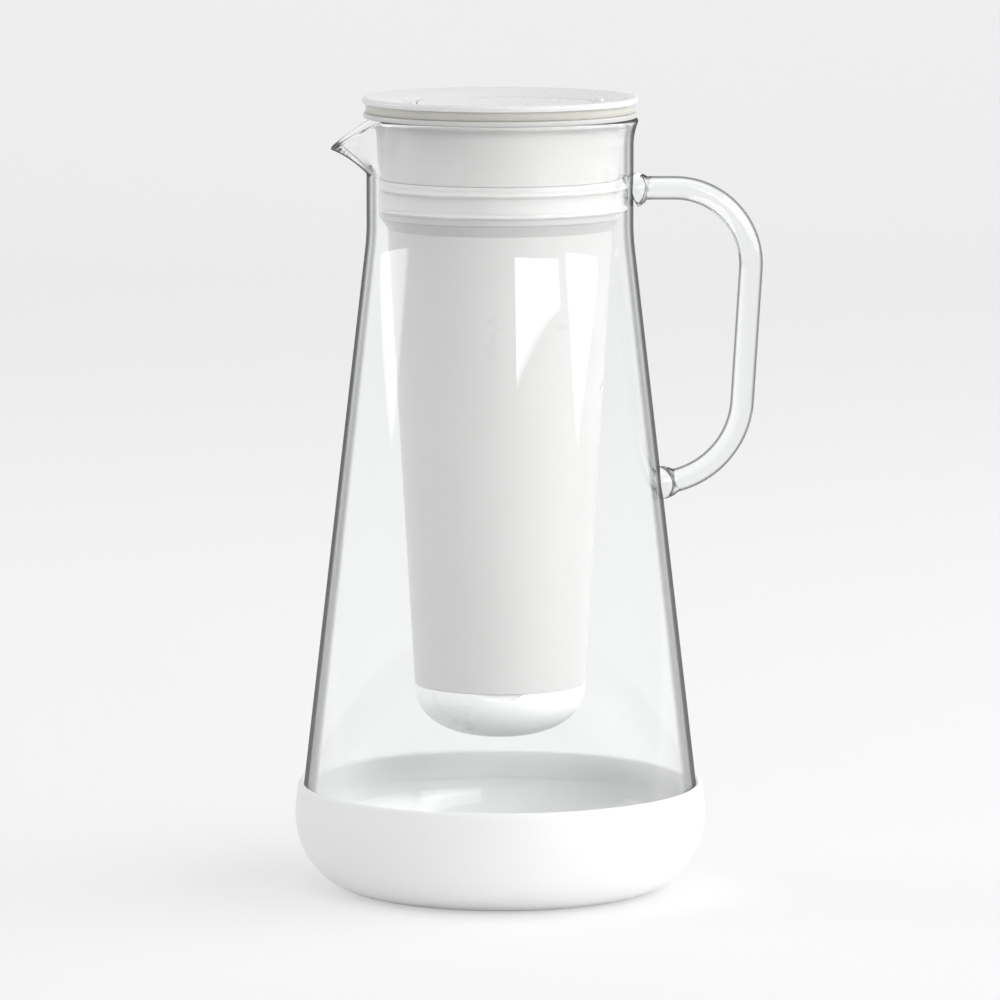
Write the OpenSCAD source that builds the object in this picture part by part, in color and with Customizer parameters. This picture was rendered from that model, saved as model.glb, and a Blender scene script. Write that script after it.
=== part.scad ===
// Glass water filter pitcher: handled glass body in a silicone base, a drop-in reservoir
// with a cup that holds the filter cartridge, and a lid with a dished flip door.
// Millimetres, +Z up, origin on the axis at the underside of the base.
// The handle points along +X and the pouring lip along -X.

/* [Glass body] */
// Outside radius of the straight neck
neck_r = 45.3; // [44.5:0.1:48]
// Thickness of the glass at the neck
neck_wall = 2.2; // [1.8:0.1:2.6]
// Height of the glass rim above the table
rim_z = 264.2; // [256:0.1:275]
// How far the rim flares beyond the neck
rim_flare = 1.6; // [1:0.1:2]
// Thickness of the fire-polished rim
rim_bead = 2.6; // [2.2:0.1:3]
// Height over which the rim flares
flare_h = 8; // [6:0.5:10]
// Height where the straight neck turns into the cone
shoulder_z = 224; // [215:0.5:230]
// Radius of the soft turn between neck and cone
shoulder_blend = 80; // [40:5:120]
// Largest outside radius of the glass, inside the base
belly_r = 68.15; // [64:0.05:72]
// Height of the largest radius
belly_z = 26; // [22:0.5:30]
// Thickness of the glass at its largest radius
belly_wall = 3; // [2.4:0.1:3.6]
// Width of the rounded bottom corner
corner_w = 21; // [16:0.5:24]
// Thickness of the glass floor
glass_floor = 4; // [3:0.1:6]
// Rise of the hollow under the glass floor
punt = 1; // [0.4:0.1:1.6]

/* [Pouring lip] */
// How far the lip is pulled out from the rim
lip_reach = 11; // [7:0.5:14]
// How far the tip of the lip dips below the rim
lip_drop = 10.5; // [6:0.5:12]
// Height of the neck that the pull draws on
lip_h = 19; // [17:0.5:21]
// Half of the angle that the lip takes up
lip_spread = 30; // [22:1:38]

/* [Glass handle] */
// Diameter of the glass rod
rod_d = 8; // [6.5:0.1:9]
// Distance from the axis to the grip's centreline
grip_x = 85.3; // [80:0.1:92]
// Depth of the upper run below the rim
grip_drop = 24; // [22:0.5:30]
// Height of the lower run's centreline
grip_low_z = 139.3; // [125:0.1:150]
// Radius of the upper bend
bend_top = 26; // [20:0.5:30]
// Radius of the lower bend
bend_low = 30; // [24:0.5:32]
// Lean of the grip towards the body at its lower end
grip_lean = 3.5; // [0:0.5:6]
// Extra radius of the weld where the rod meets the body
weld_extra = 1.6; // [1:0.1:3]
// Length over which the weld swells
weld_len = 4.5; // [3:0.5:8]
// How far the upper weld sags below its run
weld_sag = 1.5; // [0:0.1:2]

/* [Silicone base] */
// Thickness of the base's side
boot_wall = 2; // [1.5:0.1:3]
// Thickness of the base's floor
boot_floor = 3; // [2:0.1:4]
// Height of the base's edge
boot_top = 36.6; // [32:0.1:50]

/* [Reservoir] */
// Thickness of the reservoir's wall
hopper_wall = 1.8; // [1.4:0.1:2.2]
// Gap between the neck's inside and the reservoir's collar
collar_gap = 2.7; // [2.2:0.1:3.2]
// Height of the collar and its gasket below the rim
collar_h = 34; // [30:0.5:38]
// Step from the collar in to the tapered body
collar_step = 2.2; // [1.6:0.1:2.6]
// Thickness of the flange that hangs on the glass rim
flange_h = 1.8; // [1.4:0.1:2.4]
// Outside radius of the reservoir's lower end
hopper_low_r = 29.1; // [28:0.1:31]
// Height of the seam between reservoir and filter cup
seam_z = 70.6; // [66:0.1:80]
// Height of the collar gasket
gasket_h = 13; // [9:0.5:15]
// Half of the angle of the gasket's pouring gap
gap_spread = 18; // [12:1:26]

/* [Lid] */
// How far the lid's lip reaches beyond the neck
lid_over = 1.6; // [1:0.1:2.2]
// Height of the band between the flange and the lid's lip
band_h = 3.2; // [2.4:0.1:4]
// Height of the lid's lip
lip_ring_h = 2.1; // [1.8:0.1:3]
// Width of the slope from the lip in to the opening
slope_w = 8.5; // [7.5:0.1:10]
// Depth of the slope from the lip down to the opening
slope_h = 2.8; // [2.4:0.1:3.2]
// Depth of the lid's skirt in the reservoir
skirt_h = 8; // [5:0.5:12]

/* [Flip door] */
// Depth of the dish in the door
dish = 3.2; // [2:0.1:4]
// Thickness of the door
door_t = 1.9; // [1.6:0.1:2.1]
// Distance from the opening's edge in to the hinge
hinge_in = 6.9; // [6:0.1:8]
// Radius of the hinge pin
pin_r = 0.7; // [0.5:0.05:0.8]
// Width of the hinge knuckle
knuckle_w = 18; // [12:1:24]
// Width of the thumb tab
tab_w = 14; // [10:1:20]
// Height of the thumb tab above the door's edge
tab_h = 2; // [1:0.1:2.4]

/* [Filter cup] */
// Depth of the domed cup below the seam
cup_h = 18; // [16:0.5:22]
// Height of the spigot that plugs into the reservoir
spigot_h = 9; // [8:0.5:12]
// Width of the thumb notch at the seam
notch_w = 15.7; // [10:0.1:20]
// Depth of the thumb notch
notch_h = 2.8; // [2:0.1:4]
// Number of outlet holes in the ring
outlet_n = 8; // [5:1:10]
// Radius of an outlet hole
outlet_r = 1.8; // [1:0.1:2.2]

/* [Cartridge] */
// Height of the cartridge's housing
filter_h = 42; // [32:1:60]
// Thickness of the cartridge's housing
filter_wall = 1.6; // [1.2:0.1:2]
// Number of inlet slots in the cap
inlet_n = 12; // [8:1:16]
// Height of the pull tab on the cap
pull_h = 12; // [8:1:16]

/* [Clearances] */
// Gap between glass and silicone base
boot_fit = 0.05; // [0.02:0.01:0.2]
// Gap between the gasket's fins and the neck
fin_gap = 0.25; // [0.15:0.05:0.5]
// Gap between the lid's skirt and the reservoir
skirt_gap = 0.35; // [0.2:0.05:0.6]
// Gap between door and lid
door_gap = 0.4; // [0.3:0.05:0.6]
// Gap between the cup's spigot and the reservoir
spigot_gap = 0.3; // [0.2:0.05:0.5]
// Gap between a sealing ring and the wall that it seals
seal_gap = 0.1; // [0.05:0.01:0.15]
// Radial play of the hinge knuckle on its pin
pin_play = 0.05; // [0.02:0.01:0.1]

/* [Hidden] */
$fn = 96;
eps = 0.02;
far = 400;

// Small radii, chamfers and lead-ins
chamfer = 0.4;
lead = 0.3;
edge_round = 0.6;
lip_nose = 0.5;
lip_round = 1.2;

// Glass body
lid_r = neck_r + lid_over;
neck_in = neck_r - neck_wall;
belly_in = belly_r - belly_wall;
foot_z = boot_floor;
floor_z = foot_z + glass_floor;
corner_fill = belly_wall / 3;
corner_h = belly_z - foot_z;
corner_c = belly_r - corner_w;
inner_w = corner_w - corner_fill;
inner_h = belly_z - floor_z;
cone_h = shoulder_z - belly_z;
cone_out = cone_slope(belly_r - neck_r, corner_w, corner_h);
cone_in = cone_slope(belly_in - neck_in, inner_w, inner_h);
foot_ring = 1.25 * glass_floor;
punt_r = corner_c - foot_ring;
lip_root = rim_z - lip_h;
plain_neck = lip_h / 6;
join_z = lip_root - plain_neck;
bead_r = rim_bead / 2;
rim_r = neck_r + rim_flare;
LIP_FACETS = 20;
RING_FACETS = 60;
lip_point = 1.6;
lip_curve = 1.05;
lip_fill = 1.9;
WALL_STEPS = 9;
PUNT_STEPS = 5;
BEAD_STEPS = 6;
splice_inset = 0.1;
splice_h = 1;

// Reservoir and collar
collar_r = neck_in - collar_gap;
collar_in = collar_r - hopper_wall;
collar_z = rim_z - collar_h;
taper_z = collar_z - collar_step * 1.6;
taper_r = collar_r - collar_step;
flange_z = rim_z + flange_h;
flange_r = lid_r - lip_nose;
gasket_z = collar_z + chamfer;
gasket_top = gasket_z + gasket_h;
groove_d = 1.2;
gasket_proud = 0.8;
socket_lead = 2;
socket_r = hopper_low_r - hopper_wall + chamfer / 2;
socket_z = seam_z + spigot_h + 1;

// Lid
band_top = flange_z + band_h;
lid_top_z = band_top + lip_ring_h;
mouth_z = lid_top_z - slope_h;
slope_r = lid_r - lip_round - lead;
mouth_r = slope_r - slope_w;
hinge_x = mouth_r - hinge_in;
shelf_z = mouth_z - 1.3;
ledge_z = mouth_z - door_t - 0.6;
ledge_h = 1.7;
ledge_w = 3;
band_in = collar_r + 1.6;
skirt_r = collar_in - skirt_gap;
skirt_t = 1.6;
insert_lift = 0.2;
insert_bond = 0.1;
seal_h = 0.6;
gasket_in = 1.3;

// Flip door
door_r = mouth_r - door_gap;
knuckle_t = 0.7;
knuckle_r = pin_r + knuckle_t;
hinge_sink = 0.3;
hinge_z = dish_z(hinge_x) - hinge_sink;
chord_gap = 0.5;
bridge_x = -(hinge_x - knuckle_r);
chord_x = bridge_x + chord_gap;
bay_w = knuckle_w + 2 * door_gap;
bay_r = knuckle_r + door_gap;
ear_w = 3.5;
pin_len = knuckle_w + 2 * ear_w;
ear_cap = 1;
floor_lip_x = chord_x + ledge_w;
floor_t = 1.6;
block_z = dish_z(floor_lip_x) - door_t - door_gap - floor_t;
seat_r = mouth_r - ledge_w + door_gap;
scoop_r = 14;
scoop_d = 0.6;
scoop_at = 0.35;
corner_r = 12;
corner_x = chord_x + corner_r;
corner_y = sqrt(pow(door_r - corner_r, 2) - pow(corner_x, 2));
rib_in = 3;
tab_root = door_t - edge_round;

// Filter cup and cartridge
spigot_r = socket_r - spigot_gap;
cup_seal_t = 0.7;
cup_groove_r = socket_r - seal_gap - 2 * cup_seal_t;
cup_in = cup_groove_r - gasket_proud;
cup_z = seam_z - cup_h;
dome_power = 2.35;
dome_wall = 2.2;
bowl_top = 4.6;
bowl_z = seam_z - bowl_top;
bowl_h = bowl_z - cup_z - dome_wall;
spigot_z = seam_z + spigot_h;
cup_seal_drop = 3.6;
cup_seal_z = spigot_z - cup_seal_drop;
outlet_at = 11;
rib_t = 1.6;
filter_dip = 3.5;
filter_z = bowl_z - filter_dip;
filter_top = filter_z + filter_h;
filter_room = 2.2;
flange_room = 1;
filter_r = cup_in - filter_room;
filter_flange = cup_in - flange_room;
filter_in = filter_r - filter_wall;
filter_floor = 1.8;
slot_from = 6;
slot_edge = 2;
slot_w = 2;
screen_t = 0.6;
cap_h = 5;
cap_dome = 2.4;
plug_h = 0.6;
press = 0.1;
inlet_w = 1.8;
seal_up = 6.5;
seal_z = filter_z + seal_up;
filter_seal_t = 0.9;
land_h = 2.4;
cap_share = 0.6;
inlet_share = 0.45;
pull_t = 2.4;
pull_r = 6;
pull_neck = 0.7 * pull_r;
pull_hole = 1.9;

function arc(c, r, a0, a1, n) =
    [for (i = [0:n]) let (a = a0 + (a1 - a0) * i / n) [c[0] + r[0] * cos(a), c[1] + r[1] * sin(a)]];
function soft(u) = pow(max(0, min(1, u)), 2);
// Height of the dished surface at a distance from the axis
function dish_z(r) = mouth_z - dish * (1 - pow(min(r, door_r) / door_r, 2));
// Slope of the cone that leaves a corner arc of width w and height h without a kink
function cone_slope(drop, w, h) = (drop + sqrt(w * w + pow(drop / cone_h * h, 2)) - w) / cone_h;
// Angle at which a corner arc runs into the cone above it
function corner_a(slope, w, h) = atan(slope * h / w);
// Outside radius of the glass cone at height z
function cone_r(z) = neck_r + (shoulder_z - z) * cone_out;
// Soft turn from the cone into a straight neck of radius r
function shoulder(r, slope, blend) =
    let (a = atan(slope), zc = shoulder_z + blend * tan(a / 2))
    arc([r + blend, zc], [blend, blend], 180 + a, 180, 6);
// Dome of the cup: radius at height z below the seam
function dome(w, h, z, n) =
    [for (i = [0:n]) let (a = 90 * i / n)
        [w * pow(sin(a), 2 / dome_power), z - h * pow(cos(a), 2 / dome_power)]];

// ---------------------------------------------------------------- glass

outer_line = concat(
    [for (i = [0:PUNT_STEPS]) let (u = i / PUNT_STEPS) [punt_r * u, foot_z + punt * (1 - u * u)]],
    [[corner_c, foot_z]],
    arc([corner_c, belly_z], [corner_w, corner_h], -80, corner_a(cone_out, corner_w, corner_h), 12),
    shoulder(neck_r, cone_out, shoulder_blend));

inner_line = concat(
    [[0, floor_z], [belly_in - inner_w, floor_z]],
    arc([belly_in - inner_w, belly_z], [inner_w, inner_h], -80,
        corner_a(cone_in, inner_w, inner_h), 12),
    shoulder(neck_in, cone_in, shoulder_blend + neck_wall));

function reverse(list) = [for (i = [len(list) - 1:-1:0]) list[i]];

// How strongly the pull acts at angle a from the lip and height z
function pull(a, z) =
    abs(a) >= lip_spread ? 0 :
    pow(cos(90 * a / lip_spread), lip_point) * pow(max(0, min(1, (z - lip_root) / lip_h)), lip_curve);

// Section of the neck above the join, as [radius, height], before the pull. Its lower
// end is a tongue that stands inside the wall of the body below.
function flare(z) = soft((z - rim_z + bead_r + flare_h) / flare_h);
// How far through the wall a point of the section lies: 0 outside, 1 inside
function through(p) = max(0, min(1, (neck_r + rim_flare * flare(p[1]) - p[0]) / rim_bead));
wall_base = join_z + 2 * splice_h;
wall_z = [for (i = [0:WALL_STEPS]) wall_base + (rim_z - bead_r - wall_base) * i / WALL_STEPS];
neck_section = concat(
    [[neck_r - splice_inset, join_z - splice_h]],
    [for (z = wall_z) [neck_r + rim_flare * flare(z), z]],
    arc([rim_r - bead_r, rim_z - bead_r], [bead_r, bead_r], 180 / BEAD_STEPS,
        180 - 180 / BEAD_STEPS, BEAD_STEPS - 2),
    reverse([for (z = wall_z) [neck_in + (rim_r - rim_bead - neck_in) * flare(z), z]]),
    [[neck_in + splice_inset, join_z - splice_h]]);
around = concat(
    [for (i = [0:LIP_FACETS - 1]) -lip_spread + 2 * lip_spread * i / LIP_FACETS],
    [for (i = [0:RING_FACETS - 1]) lip_spread + (360 - 2 * lip_spread) * i / RING_FACETS]);

// Closed skin through rings of m points each, joined end to end when loop is true
function skin(n, m, loop) =
    [for (i = [0:n - (loop ? 1 : 2)], j = [0:m - 1], k = [0:1])
        let (p = i * m + j, q = i * m + (j + 1) % m,
            r = ((i + 1) % n) * m + (j + 1) % m, s = ((i + 1) % n) * m + j)
        k == 0 ? [p, q, r] : [p, r, s]];

module pulled_neck() {
    m = len(neck_section);
    points = [for (a = around, p = neck_section)
        let (f = pull(a > 180 ? a - 360 : a, p[1]), r = p[0] + lip_reach * f)
        [-r * cos(a), -r * sin(a), p[1] - (lip_drop - lip_fill * through(p)) * f]];
    polyhedron(points, skin(len(around), m, true), convexity = 6);
}

module glass_body() {
    color([0.9, 0.95, 0.93, 0.35]) {
        rotate_extrude()
            polygon(concat(outer_line, [[neck_r, join_z], [neck_in, join_z]], reverse(inner_line)));
        pulled_neck();
    }
}

// Centreline of the handle in the XZ plane, from the neck round to the cone
grip_top_z = rim_z - grip_drop;
top_c = [grip_x - bend_top, grip_top_z - bend_top];
low_cz = grip_low_z + bend_low;
grip_run = (top_c[1] - low_cz - (bend_top - bend_low) * sin(grip_lean)) / cos(grip_lean);
low_c = [top_c[0] + (bend_top - bend_low) * cos(grip_lean) - grip_run * sin(grip_lean), low_cz];
root_in = 1.6;
ROOT_STEPS = 8;
weld_curve = 0.75;
handle_line = concat(
    [for (i = [0:ROOT_STEPS - 1]) let (u = i / (ROOT_STEPS - 1))
        [neck_r - root_in + (root_in + weld_len) * u, grip_top_z - weld_sag * soft(1 - u)]],
    arc(top_c, [bend_top, bend_top], 90, -grip_lean, 14),
    arc(low_c, [bend_low, bend_low], -grip_lean, -90, 30),
    [[min(low_c[0] - 1, cone_r(grip_low_z) - root_in), grip_low_z]]);
ROD_SIDES = 20;

function unit(v) = v / norm(v);
function rod_r(p) =
    let (gap = max(0, p[0] - (p[1] > shoulder_z ? neck_r : cone_r(p[1]))))
    rod_d / 2 + weld_extra * pow(max(0, 1 - pow(gap / weld_len, 2)), weld_curve);

module glass_handle() {
    n = len(handle_line);
    points = [for (i = [0:n - 1], j = [0:ROD_SIDES - 1])
        let (p = handle_line[i], r = rod_r(p), a = 360 * j / ROD_SIDES,
            t = unit(handle_line[min(i + 1, n - 1)] - handle_line[max(i - 1, 0)]))
        [p[0] - t[1] * r * cos(a), r * sin(a), p[1] + t[0] * r * cos(a)]];
    ends = [[for (j = [0:ROD_SIDES - 1]) ROD_SIDES - 1 - j],
        [for (j = [0:ROD_SIDES - 1]) (n - 1) * ROD_SIDES + j]];
    color([0.9, 0.95, 0.93, 0.35])
        difference() {
            polyhedron(points, concat(skin(n, ROD_SIDES, false), ends), convexity = 4);
            rotate_extrude()
                polygon(concat(outer_line, [[neck_r, far], [0, far]]));
        }
}

// ---------------------------------------------------------------- silicone base

module silicone_base() {
    edge = (boot_wall - boot_fit) / 2;
    edge_r = cone_r(boot_top - edge) + boot_fit + edge;
    color("white")
        rotate_extrude()
            polygon(concat(
                [[0, 0], [corner_c, 0]],
                arc([corner_c, belly_z], [corner_w + boot_wall, belly_z], -82,
                    corner_a(cone_out, corner_w + boot_wall, belly_z), 14),
                arc([edge_r, boot_top - edge], [edge, edge], 0, 180, 8),
                reverse(arc([corner_c, belly_z], [corner_w + boot_fit, corner_h], -80,
                    corner_a(cone_out, corner_w, corner_h), 12)),
                [[corner_c, foot_z], [0, foot_z]]));
}

// ---------------------------------------------------------------- reservoir

module reservoir() {
    color("whitesmoke")
        rotate_extrude()
            polygon([
                [hopper_low_r - chamfer / 2, seam_z],
                [hopper_low_r, seam_z + chamfer / 2],
                [taper_r, taper_z],
                [collar_r, collar_z],
                [collar_r, gasket_z],
                [collar_r - groove_d, gasket_z],
                [collar_r - groove_d, gasket_top],
                [collar_r, gasket_top],
                [collar_r, rim_z - 1],
                [collar_r + 1, rim_z],
                [flange_r - chamfer, rim_z],
                [flange_r, rim_z + chamfer],
                [flange_r, flange_z - chamfer],
                [flange_r - chamfer, flange_z],
                [collar_in + edge_round, flange_z],
                [collar_in, flange_z - edge_round],
                [collar_in, collar_z + groove_d],
                [taper_r - hopper_wall, taper_z - hopper_wall],
                [socket_r + chamfer, socket_z + socket_lead],
                [socket_r, socket_z],
                [socket_r, seam_z + lead],
                [socket_r + lead, seam_z]]);
}

module collar_gasket() {
    fin_r = neck_in - fin_gap;
    base_r = collar_r + gasket_proud;
    fin_t = 1.4;
    fins = [0.16, 0.72];
    color("antiquewhite")
        difference() {
            rotate_extrude()
                difference() {
                    union() {
                        translate([collar_r - groove_d, gasket_z])
                            square([base_r - collar_r + groove_d, gasket_h]);
                        for (f = fins)
                            translate([base_r - eps, gasket_z + gasket_h * f])
                                polygon([[0, 0], [fin_r - base_r + eps, fin_t * 0.6],
                                    [fin_r - base_r + eps, fin_t], [0, fin_t * 1.5]]);
                    }
                    translate([collar_r - groove_d - 1, gasket_z - 1])
                        square([1, gasket_h + 2]);
                }
            rotate([0, 0, 180 - gap_spread])
                rotate_extrude(angle = 2 * gap_spread)
                    translate([base_r, gasket_z - 1])
                        square([fin_r - base_r + 2, gasket_h + 2]);
        }
}

// ---------------------------------------------------------------- lid

// Everything on the door's side of a line across the lid
module door_side(x, r) {
    intersection() {
        circle(r = r);
        translate([x, -far / 2])
            square([far, far]);
    }
}

// Round bar across the lid on the hinge line
module hinge_bar(r, w) {
    translate([-hinge_x, 0, hinge_z])
        rotate([90, 0, 0])
            cylinder(r = r, h = w, center = true);
}

// Room for the door's knuckle and its arm
module hinge_bay() {
    hinge_bar(bay_r, bay_w);
    translate([-hinge_x, -bay_w / 2, hinge_z - bay_r])
        cube([hinge_x + chord_x + 0.5, bay_w, far]);
}

function dish_line(r) = [for (i = [0:12]) let (x = r * i / 12) [x, dish_z(x)]];

// Solid under the dished surface, down to a flat underside
module dished_disc(r, low) {
    rotate_extrude()
        polygon(concat(dish_line(r), [[r, low], [0, low]]));
}

module lid_top() {
    slope_a = atan(slope_h / (slope_r - mouth_r));
    color("white")
        difference() {
            union() {
                rotate_extrude()
                    polygon(concat(
                        [[mouth_r, mouth_z]],
                        [[slope_r, lid_top_z]],
                        arc([lid_r - lip_round, lid_top_z - lip_round], [lip_round, lip_round], 80, 0, 5),
                        [[lid_r - lead, band_top]],
                        [[band_in, band_top], [band_in, shelf_z], [mouth_r, shelf_z]]));
                // Fixed bridge in front of the hinge line, with an ear at each end of the pin
                intersection() {
                    union() {
                        dished_disc(mouth_r + eps, ledge_z);
                        hinge_bar(knuckle_r, pin_len + 2 * ear_cap);
                    }
                    translate([0, 0, ledge_z])
                        linear_extrude(far)
                            difference() {
                                circle(r = mouth_r + eps);
                                door_side(bridge_x, mouth_r + 1);
                            }
                }
            }
            hinge_bay();
            hinge_bar(pin_r, pin_len);
            // Finger scoop in the slope beside the thumb tab
            translate([mouth_r + (slope_r - mouth_r) * scoop_at, 0, mouth_z + slope_h * scoop_at])
                rotate([0, -slope_a, 0])
                    translate([0, 0, scoop_r - scoop_d])
                        sphere(r = scoop_r);
        }
}

module lid_insert() {
    color("white")
        difference() {
            union() {
                rotate_extrude()
                    polygon([
                        [mouth_r - ledge_w, ledge_z - ledge_h],
                        [mouth_r - ledge_w, ledge_z],
                        [mouth_r + insert_bond, ledge_z],
                        [mouth_r + insert_bond, shelf_z],
                        [band_in - insert_bond, shelf_z],
                        [band_in - insert_bond, flange_z + insert_lift],
                        [skirt_r, flange_z + insert_lift],
                        [skirt_r, flange_z - skirt_h + lip_nose],
                        [skirt_r - lip_nose, flange_z - skirt_h],
                        [skirt_r - skirt_t, flange_z - skirt_h],
                        [skirt_r - skirt_t, ledge_z - ledge_h]]);
                // Floor under the bridge and the hinge
                translate([0, 0, block_z])
                    linear_extrude(ledge_z - block_z)
                        difference() {
                            circle(r = mouth_r - ledge_w + eps);
                            door_side(floor_lip_x, mouth_r);
                        }
            }
            hinge_bay();
            // The door's underside dips past the floor
            intersection() {
                rotate_extrude()
                    polygon(concat(
                        [for (p = dish_line(seat_r - door_gap)) [p[0], p[1] - door_t - door_gap]],
                        [[seat_r - door_gap, far], [0, far]]));
                linear_extrude(far)
                    door_side(bridge_x, mouth_r);
            }
        }
}

module lid_gasket() {
    color([0.86, 0.8, 0.7])
        rotate_extrude()
            polygon([
                [band_in, flange_z],
                [lid_r - gasket_in - lead, flange_z],
                [lid_r - gasket_in, flange_z + chamfer],
                [lid_r - gasket_in, band_top - chamfer],
                [lid_r - gasket_in - lead, band_top],
                [band_in, band_top]]);
}

module door_seal() {
    color([0.86, 0.8, 0.7])
        translate([0, 0, ledge_z])
            linear_extrude(seal_h)
                difference() {
                    door_side(chord_x + edge_round, door_r - chamfer);
                    circle(r = door_r - 5 * chamfer);
                }
}

// Outline of the door's hinge side, with corners that clear the lid's slope as it opens
module door_outline() {
    turn = atan2(corner_y, corner_x);
    half = concat(
        arc([corner_x, corner_y], [corner_r, corner_r], 180, turn, 6),
        [[far * cos(turn), far * sin(turn)], [far, far]]);
    polygon(concat(half, reverse([for (p = half) [p[0], -p[1]]])));
}

module hinge_pin() {
    color("silver")
        hinge_bar(pin_r, pin_len);
}

module flip_door() {
    rib_r = door_r - rib_in;
    seat_z = ledge_z + seal_h;
    inner_r = seat_r - 2 * door_gap;
    color("white")
        difference() {
            union() {
                // Dished panel, stepped at its edge to sit on the seal
                intersection() {
                    rotate_extrude()
                        polygon(concat(
                            dish_line(door_r - chamfer),
                            [[door_r, mouth_z - chamfer], [door_r, seat_z], [inner_r, seat_z]],
                            reverse([for (p = dish_line(inner_r)) [p[0], p[1] - door_t]])));
                    linear_extrude(far)
                        door_outline();
                }
                // Thumb tab, an arc of rib along the door's free edge
                intersection() {
                    rotate_extrude()
                        polygon([
                            [rib_r - 1.4, mouth_z - tab_root],
                            [rib_r - 1.4, mouth_z + tab_h * 0.2],
                            [rib_r, mouth_z + tab_h - lead],
                            [rib_r + 0.5, mouth_z + tab_h],
                            [rib_r + 1.2, mouth_z + tab_h],
                            [rib_r + 1.7, mouth_z + tab_h - lip_nose],
                            [rib_r + 1.9, mouth_z - tab_root]]);
                    translate([0, -tab_w / 2, 0])
                        cube([far, tab_w, far]);
                }
                // Knuckle and the arm that carries it
                hinge_bar(knuckle_r, knuckle_w);
                intersection() {
                    translate([-hinge_x, -knuckle_w / 2, hinge_z - knuckle_r + 0.2])
                        cube([hinge_x + chord_x + edge_round, knuckle_w, far]);
                    dished_disc(door_r, ledge_z - far);
                }
            }
            hinge_bar(pin_r + pin_play, far);
        }
}

// ---------------------------------------------------------------- filter cup and cartridge

module filter_cup() {
    notch_curve = (pow(notch_w / 2, 2) + pow(notch_h, 2)) / (2 * notch_h);
    color("whitesmoke")
        difference() {
            union() {
                difference() {
                    rotate_extrude()
                        polygon(concat(
                            dome(hopper_low_r, cup_h, seam_z, 16),
                            [[hopper_low_r - chamfer / 2, seam_z], [spigot_r, seam_z],
                                [spigot_r, spigot_z - chamfer], [spigot_r - chamfer, spigot_z],
                                [0, spigot_z]]));
                    rotate_extrude()
                        polygon(concat(
                            dome(cup_in, bowl_h, bowl_z, 12),
                            [[cup_in, spigot_z + 1], [0, spigot_z + 1]]));
                    translate([0, 0, cup_seal_z - cup_seal_t])
                        rotate_extrude()
                            translate([cup_groove_r, 0])
                                square([2, 2 * cup_seal_t]);
                }
                // Ribs that hold the cartridge off the floor
                intersection() {
                    rotate_extrude()
                        polygon(concat(dome(cup_in + 0.5, bowl_h + 0.5, bowl_z, 12), [[0, bowl_z]]));
                    for (i = [0:5])
                        rotate([0, 0, 30 + 60 * i])
                            translate([outlet_r * 2 + 1, -rib_t / 2, cup_z])
                                cube([cup_in, rib_t, filter_z - cup_z]);
                }
            }
            cylinder(r = outlet_r, h = seam_z);
            for (i = [0:outlet_n - 1])
                rotate([0, 0, 360 * i / outlet_n])
                    translate([outlet_at, 0, 0])
                        cylinder(r = outlet_r, h = filter_z - lip_nose);
            // Thumb notch in the front of the seam
            translate([0, -spigot_r, seam_z - notch_h + notch_curve])
                rotate([90, 0, 0])
                    cylinder(r = notch_curve, h = far);
        }
}

module ring(r, z, thick) {
    translate([0, 0, z])
        rotate_extrude()
            translate([r - thick, 0])
                circle(r = thick, $fn = 32);
}

module cup_seal() {
    color([0.86, 0.8, 0.7])
        ring(socket_r - seal_gap, cup_seal_z, cup_seal_t);
}

module filter_housing() {
    groove_r = cup_in - seal_gap - 2 * filter_seal_t;
    color("white")
        difference() {
            rotate_extrude()
                polygon([
                    [0, filter_z],
                    [filter_flange - 1, filter_z],
                    [filter_flange, filter_z + 1],
                    [filter_flange, seal_z - filter_seal_t],
                    [groove_r, seal_z - filter_seal_t],
                    [groove_r, seal_z + filter_seal_t],
                    [filter_flange, seal_z + filter_seal_t],
                    [filter_flange, seal_z + land_h],
                    [filter_r, seal_z + land_h + 1],
                    [filter_r, filter_top],
                    [filter_in, filter_top],
                    [filter_in, filter_z + filter_floor],
                    [0, filter_z + filter_floor]]);
            for (i = [0:7])
                rotate([0, 0, 45 * i])
                    translate([slot_from, -slot_w / 2, filter_z - 1])
                        cube([filter_in - slot_edge - slot_from, slot_w, filter_floor + 2]);
        }
}

module filter_cap() {
    color("white")
        difference() {
            rotate_extrude()
                polygon([
                    [0, filter_top - plug_h],
                    [filter_in - press, filter_top - plug_h],
                    [filter_in - press, filter_top],
                    [filter_r + edge_round, filter_top],
                    [filter_r + edge_round, filter_top + cap_h - cap_dome - edge_round],
                    [filter_r, filter_top + cap_h - cap_dome],
                    [filter_r * cap_share, filter_top + cap_h - lead],
                    [0, filter_top + cap_h]]);
            translate([0, 0, filter_top - 1])
                cylinder(r = filter_in - filter_wall, h = cap_h - cap_dome);
            for (i = [0:inlet_n - 1])
                rotate([0, 0, 360 * (i + 0.5) / inlet_n])
                    translate([filter_in * inlet_share, -inlet_w / 2, filter_top])
                        cube([filter_in * inlet_share, inlet_w, cap_h + 1]);
        }
}

module disc(z, t) {
    translate([0, 0, z])
        cylinder(r = filter_in - press, h = t);
}

module outlet_screen() {
    color("gainsboro")
        disc(filter_z + filter_floor, screen_t);
}

module carbon_media() {
    color([0.18, 0.18, 0.18])
        disc(filter_z + filter_floor + screen_t, filter_h - filter_floor - plug_h - 2 * screen_t);
}

module inlet_screen() {
    color("gainsboro")
        disc(filter_top - plug_h - screen_t, screen_t);
}

module filter_seal() {
    color([0.86, 0.8, 0.7])
        ring(cup_in - seal_gap, seal_z, filter_seal_t);
}

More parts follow.
